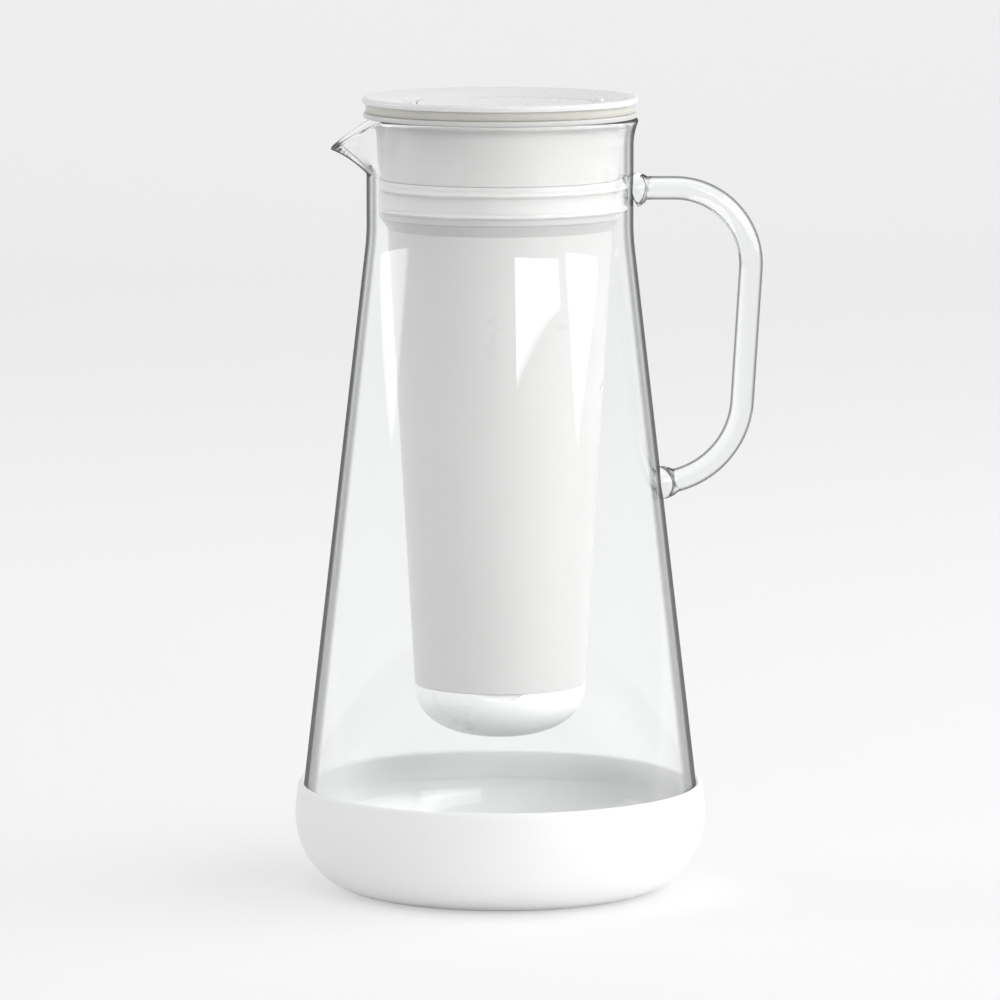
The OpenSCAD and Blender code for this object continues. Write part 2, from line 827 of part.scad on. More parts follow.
module pull_tab() {
    color([0.86, 0.8, 0.7])
        translate([0, pull_t / 2, filter_top + cap_h - eps])
            rotate([90, 0, 0])
                linear_extrude(pull_t)
                    difference() {
                        union() {
                            translate([0, pull_h - pull_r])
                                circle(r = pull_r);
                            translate([-pull_neck, 0])
                                square([2 * pull_neck, pull_h - pull_r]);
                        }
                        translate([0, pull_h - pull_r])
                            circle(r = pull_hole);
                    }
}

glass_body();
glass_handle();
silicone_base();
reservoir();
collar_gasket();
lid_top();
lid_insert();
lid_gasket();
door_seal();
hinge_pin();
flip_door();
filter_cup();
cup_seal();
filter_housing();
filter_cap();
inlet_screen();
carbon_media();
outlet_screen();
filter_seal();
pull_tab();
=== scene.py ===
"""Dresses the packed glass water filter pitcher: fine meshes and finishes around the CAD frame.

Everything is in metres in the CAD frame: +Z up, the handle along +X, the pouring lip along -X.
"""

import math

import bmesh
import bpy
from bpy.props import (
    FloatProperty,
    FloatVectorProperty,
    IntProperty,
    PointerProperty,
)
from mathutils import Matrix, Vector


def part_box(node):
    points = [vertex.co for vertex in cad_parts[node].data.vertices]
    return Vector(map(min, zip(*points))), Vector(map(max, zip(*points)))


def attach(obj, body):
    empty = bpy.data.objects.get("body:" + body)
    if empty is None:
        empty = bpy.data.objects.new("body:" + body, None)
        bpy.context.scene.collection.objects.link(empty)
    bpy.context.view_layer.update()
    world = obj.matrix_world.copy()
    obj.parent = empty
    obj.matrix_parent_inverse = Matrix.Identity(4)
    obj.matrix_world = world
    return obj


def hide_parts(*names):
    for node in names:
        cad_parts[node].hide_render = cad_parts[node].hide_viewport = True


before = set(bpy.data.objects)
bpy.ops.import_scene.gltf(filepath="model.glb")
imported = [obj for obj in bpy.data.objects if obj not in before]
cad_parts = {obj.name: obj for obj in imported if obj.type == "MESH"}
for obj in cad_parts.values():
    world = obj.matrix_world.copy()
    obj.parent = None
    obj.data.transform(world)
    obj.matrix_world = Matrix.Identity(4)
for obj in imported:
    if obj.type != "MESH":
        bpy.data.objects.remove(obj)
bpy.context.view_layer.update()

bl_info = {
    "name": "Water Filter Pitcher Builder",
    "version": (1, 0, 0),
    "blender": (4, 5, 0),
    "location": "View3D > Sidebar > Pitcher",
    "description": "Builds the visible pieces and finishes of a glass water filter pitcher",
    "category": "Object",
}

GLASS_LOW, GLASS_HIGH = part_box("glass_body")
TURN_STEPS = 192  # facets round a turned piece
ON_AXIS = 1e-7  # radius below which a point is taken to be on the axis
STRAIGHT = 0.05  # turn in radians below which a corner is left as it is


# ---------------------------------------------------------------- sizes and colours


def length(label, text, value):
    """A length property in metres."""
    return FloatProperty(
        name=label, description=text, default=value, min=0.0, unit="LENGTH", precision=5
    )


def colour(label, text, value):
    """A colour property in scene-linear red, green and blue."""
    return FloatVectorProperty(
        name=label, description=text, default=value, size=3, min=0.0, max=1.0, subtype="COLOR"
    )


def angle(label, text, degrees):
    """An angle property, given in degrees."""
    return FloatProperty(
        name=label, description=text, default=math.radians(degrees), subtype="ANGLE"
    )


def share(label, text, value):
    """A share from 0 to 1."""
    return FloatProperty(
        name=label, description=text, default=value, min=0.0, max=1.0, subtype="FACTOR"
    )


def strength(label, text, value):
    """A plain number of zero or more, such as a lamp's power."""
    return FloatProperty(name=label, description=text, default=value, min=0.0)


class PitcherGlass(bpy.types.PropertyGroup):
    """Sizes and tint of the glass body, its pouring lip and its handle"""

    neck_r: length("Neck radius", "Outside radius of the straight neck", 0.0453)
    neck_wall: length("Neck wall", "Thickness of the glass at the neck", 0.0018)
    rim_flare: length("Rim flare", "How far the rim flares beyond the neck", 0.0016)
    rim_bead: length("Rim bead", "Thickness of the fire-polished rim", 0.0026)
    flare_h: length("Flare height", "Height over which the rim flares", 0.008)
    shoulder_z: length("Shoulder height", "Height where the neck turns into the cone", 0.224)
    shoulder_blend: length("Shoulder blend", "Radius of the turn between neck and cone", 0.080)
    belly_r: length("Belly radius", "Largest outside radius of the glass", 0.06815)
    belly_z: length("Belly height", "Height of the largest radius", 0.026)
    belly_wall: length("Belly wall", "Thickness of the glass at its largest radius", 0.0019)
    corner_w: length("Corner width", "Width of the rounded bottom corner", 0.021)
    floor_t: length("Floor", "Thickness of the glass floor", 0.004)
    punt: length("Punt", "Rise of the hollow under the glass floor", 0.001)
    lip_reach: length("Lip reach", "How far the pouring lip is pulled out", 0.011)
    lip_drop: length("Lip drop", "How far the tip of the lip dips", 0.0105)
    lip_fill: length("Lip fill", "Extra thickness of the glass at the lip's nose", 0.0019)
    lip_h: length("Lip height", "Height of the neck that the pull draws on", 0.019)
    lip_spread: angle("Lip spread", "Half of the angle that the lip takes up", 30)
    rod_d: length("Rod", "Diameter of the handle's glass rod", 0.008)
    grip_x: length("Grip", "Distance from the axis to the grip's centreline", 0.0853)
    grip_drop: length("Grip drop", "Depth of the upper run below the rim", 0.024)
    grip_low_z: length("Lower run", "Height of the lower run's centreline", 0.1393)
    bend_top: length("Upper bend", "Radius of the handle's upper bend", 0.026)
    bend_low: length("Lower bend", "Radius of the handle's lower bend", 0.030)
    grip_lean: angle("Grip lean", "Lean of the grip towards the body", 3.5)
    weld_extra: length("Weld swell", "Extra radius of the rod where it is welded on", 0.0016)
    weld_len: length("Weld length", "Length over which the weld swells", 0.0045)
    weld_sag: length("Weld sag", "How far the upper weld sags below its run", 0.0015)
    tint: colour("Glass tint", "Tint of the light that passes through thick glass", (0.86, 0.97, 0.92))
    density: strength("Tint density", "Absorption per metre of glass", 14.0)
    # Painted shade: how far a near-black matte shader is mixed into the glass where it is seen edge-on.
    painted_edge_shade: share("Edge darkness", "How dark the glass gets where it is seen edge-on", 0.82)


class PitcherBase(bpy.types.PropertyGroup):
    """Sizes and colour of the silicone base"""

    wall: length("Wall", "Thickness of the base's side", 0.002)
    floor_t: length("Floor", "Thickness of the base's floor", 0.003)
    top: length("Edge height", "Height of the base's edge", 0.0366)
    fit: length("Fit", "Gap between glass and base", 0.00005)
    silicone: colour("Silicone", "Colour of the white silicone", (0.95, 0.95, 0.955))


class PitcherHopper(bpy.types.PropertyGroup):
    """Sizes and colours of the reservoir, its gasket and the filter cup"""

    wall: length("Wall", "Thickness of the reservoir's wall", 0.0018)
    collar_gap: length("Collar gap", "Gap between the neck and the collar", 0.0031)
    collar_h: length("Collar height", "Height of the collar below the rim", 0.034)
    collar_step: length("Collar step", "Step from the collar in to the tapered body", 0.0022)
    flange_h: length("Flange", "Thickness of the flange on the glass rim", 0.0018)
    low_r: length("Lower radius", "Outside radius of the reservoir's lower end", 0.0291)
    seam_z: length("Seam", "Height of the seam between reservoir and cup", 0.0706)
    gasket_h: length("Gasket height", "Height of the collar gasket", 0.013)
    gap_spread: angle("Pouring gap", "Half of the angle of the gasket's pouring gap", 18)
    cup_h: length("Cup depth", "Depth of the domed cup below the seam", 0.018)
    spigot_h: length("Spigot", "Height of the spigot that plugs into the reservoir", 0.009)
    notch_w: length("Notch width", "Width of the thumb notch at the seam", 0.0157)
    notch_h: length("Notch depth", "Depth of the thumb notch", 0.0028)
    outlet_n: IntProperty(name="Outlets", description="Outlet holes in the ring", default=8, min=3)
    outlet_r: length("Outlet radius", "Radius of an outlet hole", 0.0018)
    # Painted shade: this white is set darker than the cup's and the lid's, though it is the same
    # plastic.
    plastic: colour("Plastic", "Colour of the reservoir's white plastic", (0.635, 0.63, 0.62))
    # Painted light: this white is set brighter than the reservoir's, though it is the same plastic, to
    # stand in for light bounced up from the bowl.
    cup: colour("Cup", "Colour of the cup's white plastic", (0.92, 0.92, 0.92))
    rubber: colour("Gasket", "Colour of the translucent gaskets", (0.84, 0.835, 0.81))


class PitcherLid(bpy.types.PropertyGroup):
    """Sizes and colours of the lid and its flip door"""

    over: length("Lip over neck", "How far the lid's lip reaches beyond the neck", 0.0016)
    band_h: length("Band height", "Height of the band under the lid's lip", 0.0032)
    lip_h: length("Lip height", "Height of the lid's lip", 0.0021)
    slope_w: length("Slope width", "Width of the slope in to the opening", 0.0085)
    slope_h: length("Slope depth", "Depth of the slope down to the opening", 0.0028)
    skirt_h: length("Skirt", "Depth of the lid's skirt in the reservoir", 0.008)
    dish: length("Dish", "Depth of the dish in the door", 0.0032)
    door_t: length("Door", "Thickness of the door", 0.0019)
    hinge_in: length("Hinge", "Distance from the opening's edge in to the hinge", 0.0069)
    pin_r: length("Pin radius", "Radius of the hinge pin", 0.0007)
    knuckle_w: length("Knuckle", "Width of the hinge knuckle", 0.018)
    tab_w: length("Tab width", "Width of the thumb tab", 0.014)
    tab_h: length("Tab height", "Height of the thumb tab", 0.002)
    plastic: colour("Lid plastic", "Colour of the lid's white plastic", (0.80, 0.80, 0.80))
    band: colour("Band", "Colour of the translucent band gasket", (0.92, 0.87, 0.74))


class PitcherFilter(bpy.types.PropertyGroup):
    """Colours of the cartridge and the hinge pin"""

    plastic: colour("Cartridge plastic", "Colour of the cartridge's shell", (0.78, 0.79, 0.8))
    carbon: colour("Carbon", "Colour of the pressed carbon", (0.02, 0.02, 0.022))
    screen: colour("Screen", "Colour of the woven screens", (0.6, 0.6, 0.58))
    steel: colour("Steel", "Colour of the hinge pin", (0.62, 0.62, 0.63))


class PitcherStage(bpy.types.PropertyGroup):
    """Camera, floor and lamps"""

    distance: length("Distance", "Camera distance along Y", 2.5)
    height: length("Height", "Camera height", 0.451)
    pitch: angle("Pitch", "How far the camera looks down", 7.24)
    lens: strength("Lens", "Focal length in millimetres", 265.9)
    floor_near: colour("Near floor", "Colour of the floor in front", (0.955, 0.955, 0.955))
    floor_far: colour("Far floor", "Colour of the floor far behind", (0.95, 0.95, 0.945))
    glow: strength("Floor glow", "Light that the near floor itself gives", 0.49)
    far_glow: strength("Wall glow", "Light that the far wall itself gives", 0.64)
    room: strength("Room light", "Light from all round", 0.33)
    mirrored: strength("Mirrored room", "Brightness of reflections", 0.92)
    through: strength("Room through glass", "Brightness seen through glass", 0.9)
    key_power: strength("Key lamp", "Power in watts", 20.5)
    front_power: strength("Front lamp", "Power in watts", 19.0)
    top_power: strength("Top lamp", "Power in watts", 7.0)
    fill_power: strength("Fill lamp", "Power in watts", 9.0)


# ---------------------------------------------------------------- mesh helpers


def arc(cx, cz, rx, rz, start, end, steps):
    """Points of an elliptical arc in the section plane, angles in degrees."""
    turns = [math.radians(start + (end - start) * i / steps) for i in range(steps + 1)]
    return [(cx + rx * math.cos(t), cz + rz * math.sin(t)) for t in turns]


def rounded(points, radius, steps=4):
    """The open line through points with each inner corner rounded to the radius."""
    out = [points[0]]
    for before, here, after in zip(points, points[1:], points[2:]):
        a, b, c = Vector(before), Vector(here), Vector(after)
        u, v = (a - b).normalized(), (c - b).normalized()
        turn = math.pi - u.angle(v)
        if turn < STRAIGHT:
            out.append(here)
            continue
        room = 0.45 * min((a - b).length, (c - b).length)
        reach = min(radius * math.tan(turn / 2), room)
        p, q = b + u * reach, b + v * reach
        for i in range(steps + 1):
            t = i / steps
            out.append(tuple(p * (1 - t) ** 2 + b * (2 * t * (1 - t)) + q * t * t))
    out.append(points[-1])
    return out


def loop_rounded(points, radius, steps=4):
    """The closed line through points with every corner rounded."""
    line = rounded([points[-1]] + list(points) + [points[0]], radius, steps)
    return line[1:-1]


def stations(first, last, steps):
    """Evenly spaced values from first to last."""
    return [first + (last - first) * i / steps for i in range(steps + 1)]


def bridged(line, more, steps):
    """Both lines in one, with a straight run in steps between them."""
    last, first = Vector(line[-1]), Vector(more[0])
    return line + [tuple(last.lerp(first, i / steps)) for i in range(1, steps)] + more


def finished(bm, name):
    """A new mesh from the bmesh, which is freed."""
    mesh = bpy.data.meshes.new(name)
    bm.to_mesh(mesh)
    bm.free()
    return mesh


def turned_mesh(name, line, closed=True, steps=TURN_STEPS, angles=None, shift=None):
    """A mesh turned about the Z axis from a line of (radius, height) points.

    A point on the axis becomes one pole. shift(angle, radius, height) may move a point.
    """
    angles = angles or [2 * math.pi * i / steps for i in range(steps)]
    bm = bmesh.new()
    rings = []
    for radius, height in line:
        if radius < ON_AXIS:
            rings.append([bm.verts.new((0, 0, height))] * len(angles))
            continue
        ring = []
        for a in angles:
            r, z = shift(a, radius, height) if shift else (radius, height)
            ring.append(bm.verts.new((r * math.cos(a), r * math.sin(a), z)))
        rings.append(ring)
    pairs = list(zip(rings, rings[1:]))
    if closed:
        pairs.append((rings[-1], rings[0]))
    for low, high in pairs:
        if low[0] is low[1] and high[0] is high[1]:
            continue
        for i in range(len(angles)):
            j = (i + 1) % len(angles)
            corners = []
            for v in (low[i], low[j], high[j], high[i]):
                if v not in corners:
                    corners.append(v)
            if len(corners) > 2:
                bm.faces.new(corners)
    bmesh.ops.recalc_face_normals(bm, faces=bm.faces)
    return finished(bm, name)


def outline_mesh(name, points, low, high):
    """A flat-topped solid over an outline of (x, y) points between two heights."""
    bm = bmesh.new()
    face = bm.faces.new([bm.verts.new((x, y, low)) for x, y in points])
    grown = bmesh.ops.extrude_face_region(bm, geom=[face])
    top = [v for v in grown["geom"] if isinstance(v, bmesh.types.BMVert)]
    bmesh.ops.translate(bm, verts=top, vec=(0, 0, high - low))
    bmesh.ops.recalc_face_normals(bm, faces=bm.faces)
    return finished(bm, name)


def box_mesh(name, low, high):
    """A box from its lowest to its highest corner."""
    points = [(low[0], low[1]), (high[0], low[1]), (high[0], high[1]), (low[0], high[1])]
    return outline_mesh(name, points, low[2], high[2])


def add_bar(bm, radius, depth, steps, matrix):
    """Adds a closed round bar, along the matrix's own Z."""
    bmesh.ops.create_cone(
        bm, cap_ends=True, segments=steps, radius1=radius, radius2=radius, depth=depth, matrix=matrix
    )


def bar_mesh(name, radius, width, x, z, steps=48):
    """A round bar along Y through (x, z)."""
    bm = bmesh.new()
    along_y = Matrix.Rotation(math.pi / 2, 4, "X")
    add_bar(bm, radius, width, steps, Matrix.Translation((x, 0, z)) @ along_y)
    return finished(bm, name)


def add_object(name, mesh):
    """A new object with that mesh in the scene."""
    obj = bpy.data.objects.new(name, mesh)
    bpy.context.scene.collection.objects.link(obj)
    return obj


def taken(obj):
    """The mesh of a helper object, which is removed."""
    mesh = obj.data
    bpy.data.objects.remove(obj)
    return mesh


def combine(obj, mesh, operation):
    """Joins, cuts or trims the object's mesh with another closed mesh."""
    tool = add_object("tool", mesh)
    step = obj.modifiers.new("step", "BOOLEAN")
    step.operation = operation
    step.solver = "MANIFOLD"
    step.object = tool
    bpy.context.view_layer.update()
    ready = obj.evaluated_get(bpy.context.evaluated_depsgraph_get())
    result = bpy.data.meshes.new_from_object(ready)
    obj.modifiers.clear()
    obj.data = result
    bpy.data.objects.remove(tool)
    if not result.polygons:
        raise RuntimeError(f"{obj.name} lost its mesh in a {operation.lower()}")


def smooth(obj, degrees=35):
    """Shades the object smooth, with edges sharper than the angle kept crisp."""
    mesh = obj.data
    mesh.polygons.foreach_set("use_smooth", [True] * len(mesh.polygons))
    mesh.set_sharp_from_angle(angle=math.radians(degrees))
    mesh.update()


def set_up(obj, body, nodes, material, degrees=35):
    """Gives a finished piece its shading, material, body, slot and the nodes it stands for."""
    smooth(obj, degrees)
    obj.data.materials.clear()
    obj.data.materials.append(material)
    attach(obj, body)
    if nodes:
        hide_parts(*nodes)
    return obj


# ---------------------------------------------------------------- materials


class Nodes:
    """Short calls to add nodes to a node tree and link them."""

    def __init__(self, tree):
        self.tree = tree

    def node(self, kind, **values):
        """A new node with its properties and unlinked inputs set."""
        made = self.tree.nodes.new(kind)
        for key, value in values.items():
            if hasattr(made, key):
                setattr(made, key, value)
            else:
                made.inputs[key.replace("_", " ")].default_value = value
        return made

    def link(self, source, target):
        """Links an output to an input, or sets the input if the source is a plain value."""
        if isinstance(source, bpy.types.NodeSocket):
            self.tree.links.new(source, target)
        else:
            target.default_value = source

    def ranged(self, source, low, high, start=0.3, end=0.7, kind="LINEAR"):
        """The source stretched from start..end to low..high."""
        made = self.node("ShaderNodeMapRange", interpolation_type=kind)
        for key, value in (("From Min", start), ("From Max", end), ("To Min", low), ("To Max", high)):
            made.inputs[key].default_value = value
        self.link(source, made.inputs["Value"])
        return made.outputs["Result"]

    def calc(self, operation, *values):
        """Result of a maths operation on outputs or plain numbers."""
        made = self.node("ShaderNodeMath", operation=operation)
        for value, target in zip(values, made.inputs):
            self.link(value, target)
        return made.outputs[0]

    def blend(self, share, first, second):
        """The first shader going over to the second by a share."""
        made = self.node("ShaderNodeMixShader")
        for value, target in zip((share, first, second), made.inputs):
            self.link(value, target)
        return made.outputs[0]

    def blend_colour(self, share, first, second):
        """The first colour going over to the second by a share."""
        made = self.node("ShaderNodeMix", data_type="RGBA")
        made.inputs[6].default_value = (*first, 1.0)
        made.inputs[7].default_value = (*second, 1.0)
        self.link(share, made.inputs[0])
        return made.outputs[2]


class Shader(Nodes):
    """A new material with a Principled shader, and short calls to add what feeds it."""

    def __init__(self, name, base, roughness, **sockets):
        self.material = bpy.data.materials.new(name)
        self.material.use_nodes = True
        super().__init__(self.material.node_tree)
        self.main = self.tree.nodes["Principled BSDF"]
        self.out = self.tree.nodes["Material Output"]
        self.main.inputs["Base Color"].default_value = (*base, 1.0)
        self.main.inputs["Roughness"].default_value = roughness
        self.main.inputs["Subsurface Radius"].default_value = (1.0, 0.97, 0.93)
        for socket, value in sockets.items():
            self.main.inputs[socket.replace("_", " ")].default_value = value
        self.place = self.node("ShaderNodeTexCoord").outputs["Object"]

    def noise(self, scale, detail=3.0, stretch=(1, 1, 1), rough=0.5):
        """Noise over the object's own coordinates, at a scale per metre."""
        spread = self.node("ShaderNodeMapping")
        spread.inputs["Scale"].default_value = stretch
        self.link(self.place, spread.inputs["Vector"])
        made = self.node("ShaderNodeTexNoise", Scale=scale, Detail=detail, Roughness=rough)
        self.link(spread.outputs["Vector"], made.inputs["Vector"])
        return made.outputs["Fac"]

    def vary_roughness(self, source, low, high):
        """Lets the roughness drift between two values."""
        self.link(self.ranged(source, low, high), self.main.inputs["Roughness"])

    def vary_colour(self, source, dark, light):
        """Lets the base colour drift between two close colours."""
        drift = self.blend_colour(self.ranged(source, 0.0, 1.0), dark, light)
        self.link(drift, self.main.inputs["Base Color"])

    def bump(self, *layers):
        """Adds bump layers, each as (source, distance in metres, strength)."""
        normal = None
        for source, distance, strength in layers:
            made = self.node("ShaderNodeBump", Strength=strength, Distance=distance)
            self.link(source, made.inputs["Height"])
            if normal:
                self.link(normal, made.inputs["Normal"])
            normal = made.outputs["Normal"]
        self.link(normal, self.main.inputs["Normal"])


def tinted(base, factor):
    """The colour scaled by a factor and kept within 0 to 1."""
    return tuple(min(1.0, c * factor) for c in base)


def on_rod(s, g, slope):
    """1 where the glass stands out past the neck and cone, as the handle does, else 0; there the
    painted edge shade runs in a wider band.
    """
    beyond = g.rim_flare + 0.0006
    split = s.node("ShaderNodeSeparateXYZ")
    s.link(s.place, split.inputs[0])
    below = s.calc("MAXIMUM", s.calc("SUBTRACT", g.shoulder_z, split.outputs["Z"]), 0.0)
    wall = s.calc("MULTIPLY_ADD", below, slope, g.neck_r + beyond)
    return s.calc("GREATER_THAN", split.outputs["X"], wall)


def glass_material(g, slope):
    """Clear blown glass: faint waves, a slight green depth, painted shade at its edges, and open to
    lamp light.
    """
    s = Shader("clear_glass", (1.0, 1.0, 1.0), 0.0, Transmission_Weight=1.0, IOR=1.5)
    s.vary_roughness(s.noise(60.0, 2.0), 0.0, 0.02)
    long_waves = s.noise(9.0, 1.0, (1, 1, 0.35))
    short_waves = s.noise(34.0, 2.0, (1, 1, 0.5))
    s.bump((long_waves, 0.0006, 0.12), (short_waves, 0.0002, 0.05))
    depth = s.node("ShaderNodeVolumeAbsorption", Color=(*g.tint, 1.0), Density=g.density)
    s.link(depth.outputs["Volume"], s.out.inputs["Volume"])
    # Painted shade: a near-black diffuse shader is mixed in where the surface is seen edge-on, in a
    # wider band on the handle's rod, standing in for the dark edges that the glass bends into view.
    facing = s.node("ShaderNodeLayerWeight", Blend=0.5).outputs["Facing"]
    wall = s.ranged(facing, 0.0, g.painted_edge_shade, 0.71, 0.81)
    rod = s.ranged(facing, 0.0, g.painted_edge_shade * 0.85, 0.30, 0.52)
    edge = s.node("ShaderNodeMix", data_type="FLOAT")
    s.link(on_rod(s, g, slope), edge.inputs[0])
    s.link(wall, edge.inputs[2])
    s.link(rod, edge.inputs[3])
    shade = s.node("ShaderNodeBsdfDiffuse", Color=(0.04, 0.04, 0.045, 1.0))
    clear = s.node("ShaderNodeBsdfTransparent", Color=(0.99, 0.992, 0.991, 1.0))
    path = s.node("ShaderNodeLightPath")
    body = s.blend(edge.outputs[0], s.main.outputs["BSDF"], shade.outputs["BSDF"])
    surface = s.blend(path.outputs["Is Shadow Ray"], body, clear.outputs["BSDF"])
    s.link(surface, s.out.inputs["Surface"])
    return s.material


def silicone_material(b):
    """Soft matte silicone with a faint skin of fine grain."""
    s = Shader(
        "white_silicone",
        b.silicone,
        0.62,
        Subsurface_Weight=0.7,
        Subsurface_Scale=0.0012,
        Sheen_Weight=0.06,
        IOR=1.41,
    )
    cloud = s.noise(22.0, 3.0)
    s.vary_colour(cloud, tinted(b.silicone, 0.985), tinted(b.silicone, 1.01))
    s.vary_roughness(s.noise(45.0, 4.0), 0.55, 0.7)
    s.bump((s.noise(2600.0, 4.0, rough=0.6), 0.00004, 0.35), (s.noise(60.0, 2.0), 0.0004, 0.05))
    return s.material


def plastic_material(name, base, roughness=0.32, grain=0.00002, scale=1800.0):
    """Moulded white plastic with fine grain, faint flow waves and patchy gloss."""
    s = Shader(name, base, roughness, Subsurface_Weight=0.12, Subsurface_Scale=0.003, IOR=1.49)
    s.vary_colour(s.noise(14.0, 3.0), tinted(base, 0.985), tinted(base, 1.012))
    s.vary_roughness(s.noise(70.0, 4.0), roughness * 0.85, roughness * 1.2)
    s.bump((s.noise(scale, 3.0), grain, 0.3), (s.noise(35.0, 1.0, (1, 1, 0.3)), 0.0003, 0.04))
    return s.material


def rubber_material(name, base, clear=0.35):
    """Translucent silicone gasket with a hazy, slightly uneven skin."""
    s = Shader(
        name,
        base,
        0.45,
        Subsurface_Weight=0.9,
        Subsurface_Scale=0.005,
        Transmission_Weight=clear,
        IOR=1.41,
    )
    s.vary_colour(s.noise(30.0, 3.0), tinted(base, 0.96), tinted(base, 1.04))
    s.vary_roughness(s.noise(80.0, 3.0), 0.38, 0.55)
    s.bump((s.noise(1500.0, 3.0), 0.00003, 0.25), (s.noise(90.0, 2.0), 0.0002, 0.08))
    return s.material


def steel_material(f):
    """Brushed stainless steel, with the brushing round the pin."""
    s = Shader("pin_steel", f.steel, 0.28, Metallic=1.0)
    s.vary_roughness(s.noise(900.0, 3.0, (1, 0.02, 1)), 0.2, 0.38)
    s.bump((s.noise(2500.0, 2.0, (0.2, 1, 0.2)), 0.00001, 0.4))
    return s.material


def carbon_material(f):
    """Pressed carbon block: black, matte and pitted."""
    s = Shader("carbon_block", f.carbon, 0.85)
    pits, grains = (0.012, 0.012, 0.013), (0.05, 0.05, 0.052)
    s.vary_colour(s.noise(1500.0, 5.0, rough=0.7), pits, grains)
    s.vary_roughness(s.noise(800.0, 3.0), 0.7, 0.95)
    s.bump((s.noise(900.0, 5.0, rough=0.7), 0.0004, 0.6))
    return s.material


def screen_material(f):
    """Woven filter mesh: fine crossed threads in pale plastic."""
    s = Shader("screen_mesh", f.screen, 0.5)
    ways = []
    for axis in ("X", "Y"):
        wave = s.node("ShaderNodeTexWave", bands_direction=axis, Scale=420.0, Distortion=0.0)
        s.link(s.place, wave.inputs["Vector"])
        ways.append(wave.outputs["Fac"])
    weave = s.calc("MAXIMUM", *ways)
    holes, threads = (0.16, 0.16, 0.155), (0.72, 0.72, 0.7)
    s.vary_colour(weave, holes, threads)
    s.vary_roughness(s.noise(200.0, 2.0), 0.4, 0.6)
    s.bump((weave, 0.0002, 0.7))
    return s.material


# ---------------------------------------------------------------- shared lines


def cone_slope(g, drop, width, height):
    """Slope of the cone that leaves a corner arc without a kink."""
    run = g.shoulder_z - g.belly_z
    return (drop + math.hypot(width, drop / run * height) - width) / run


def corner_end(slope, width, height):
    """Angle in degrees at which the corner arc runs into the cone."""
    return math.degrees(math.atan(slope * height / width))


def shoulder_line(g, radius, slope, blend):
    """Soft turn from the cone into a straight neck."""
    a = math.atan(slope)
    z = g.shoulder_z + blend * math.tan(a / 2)
    return arc(radius + blend, z, blend, blend, 180 + math.degrees(a), 180, 12)


def soft(u):
    """Square of a share held between 0 and 1."""
    return max(0.0, min(1.0, u)) ** 2


def pull_at(g, turn, z, root):
    """How strongly the lip's pull acts at an angle from the lip and a height."""
    across_power, up_power = 1.6, 1.05
    if abs(turn) >= g.lip_spread:
        return 0.0
    across = math.cos(math.pi / 2 * turn / g.lip_spread)
    up = max(0.0, min(1.0, (z - root) / g.lip_h))
    return across**across_power * up**up_power


def flare_at(g, z):
    """Share of the rim's flare that is reached at a height."""
    return soft((z - GLASS_HIGH.z + g.rim_bead / 2 + g.flare_h) / g.flare_h)


def handle_path(g, rim_z, cone_r):
    """Centreline of the handle as (x, z) points, from inside the neck round to the cone."""
    root_in = 0.6 * g.neck_wall
    top_z = rim_z - g.grip_drop
    lean = math.degrees(g.grip_lean)
    top_x = g.grip_x - g.bend_top
    top_cz = top_z - g.bend_top
    low_cz = g.grip_low_z + g.bend_low
    swap = g.bend_top - g.bend_low
    run = (top_cz - low_cz - swap * math.sin(g.grip_lean)) / math.cos(g.grip_lean)
    low_x = top_x + swap * math.cos(g.grip_lean) - run * math.sin(g.grip_lean)
    start = g.neck_r - root_in
    weld_end = g.neck_r + g.weld_len
    weld = weld_end - start
    path = [
        (x, top_z - g.weld_sag * soft((weld_end - x) / weld)) for x in stations(start, weld_end, 18)
    ]
    path += [(x, top_z) for x in stations(weld_end, top_x, 4)[1:-1]]
    path += arc(top_x, top_cz, g.bend_top, g.bend_top, 90, -lean, 36)
    path = bridged(path, arc(low_x, low_cz, g.bend_low, g.bend_low, -lean, -90, 36), 8)
    end = cone_r(g.grip_low_z) - root_in
    path += [(x, g.grip_low_z) for x in stations(low_x, end, 16)[1:]]
    return path


# ---------------------------------------------------------------- glass


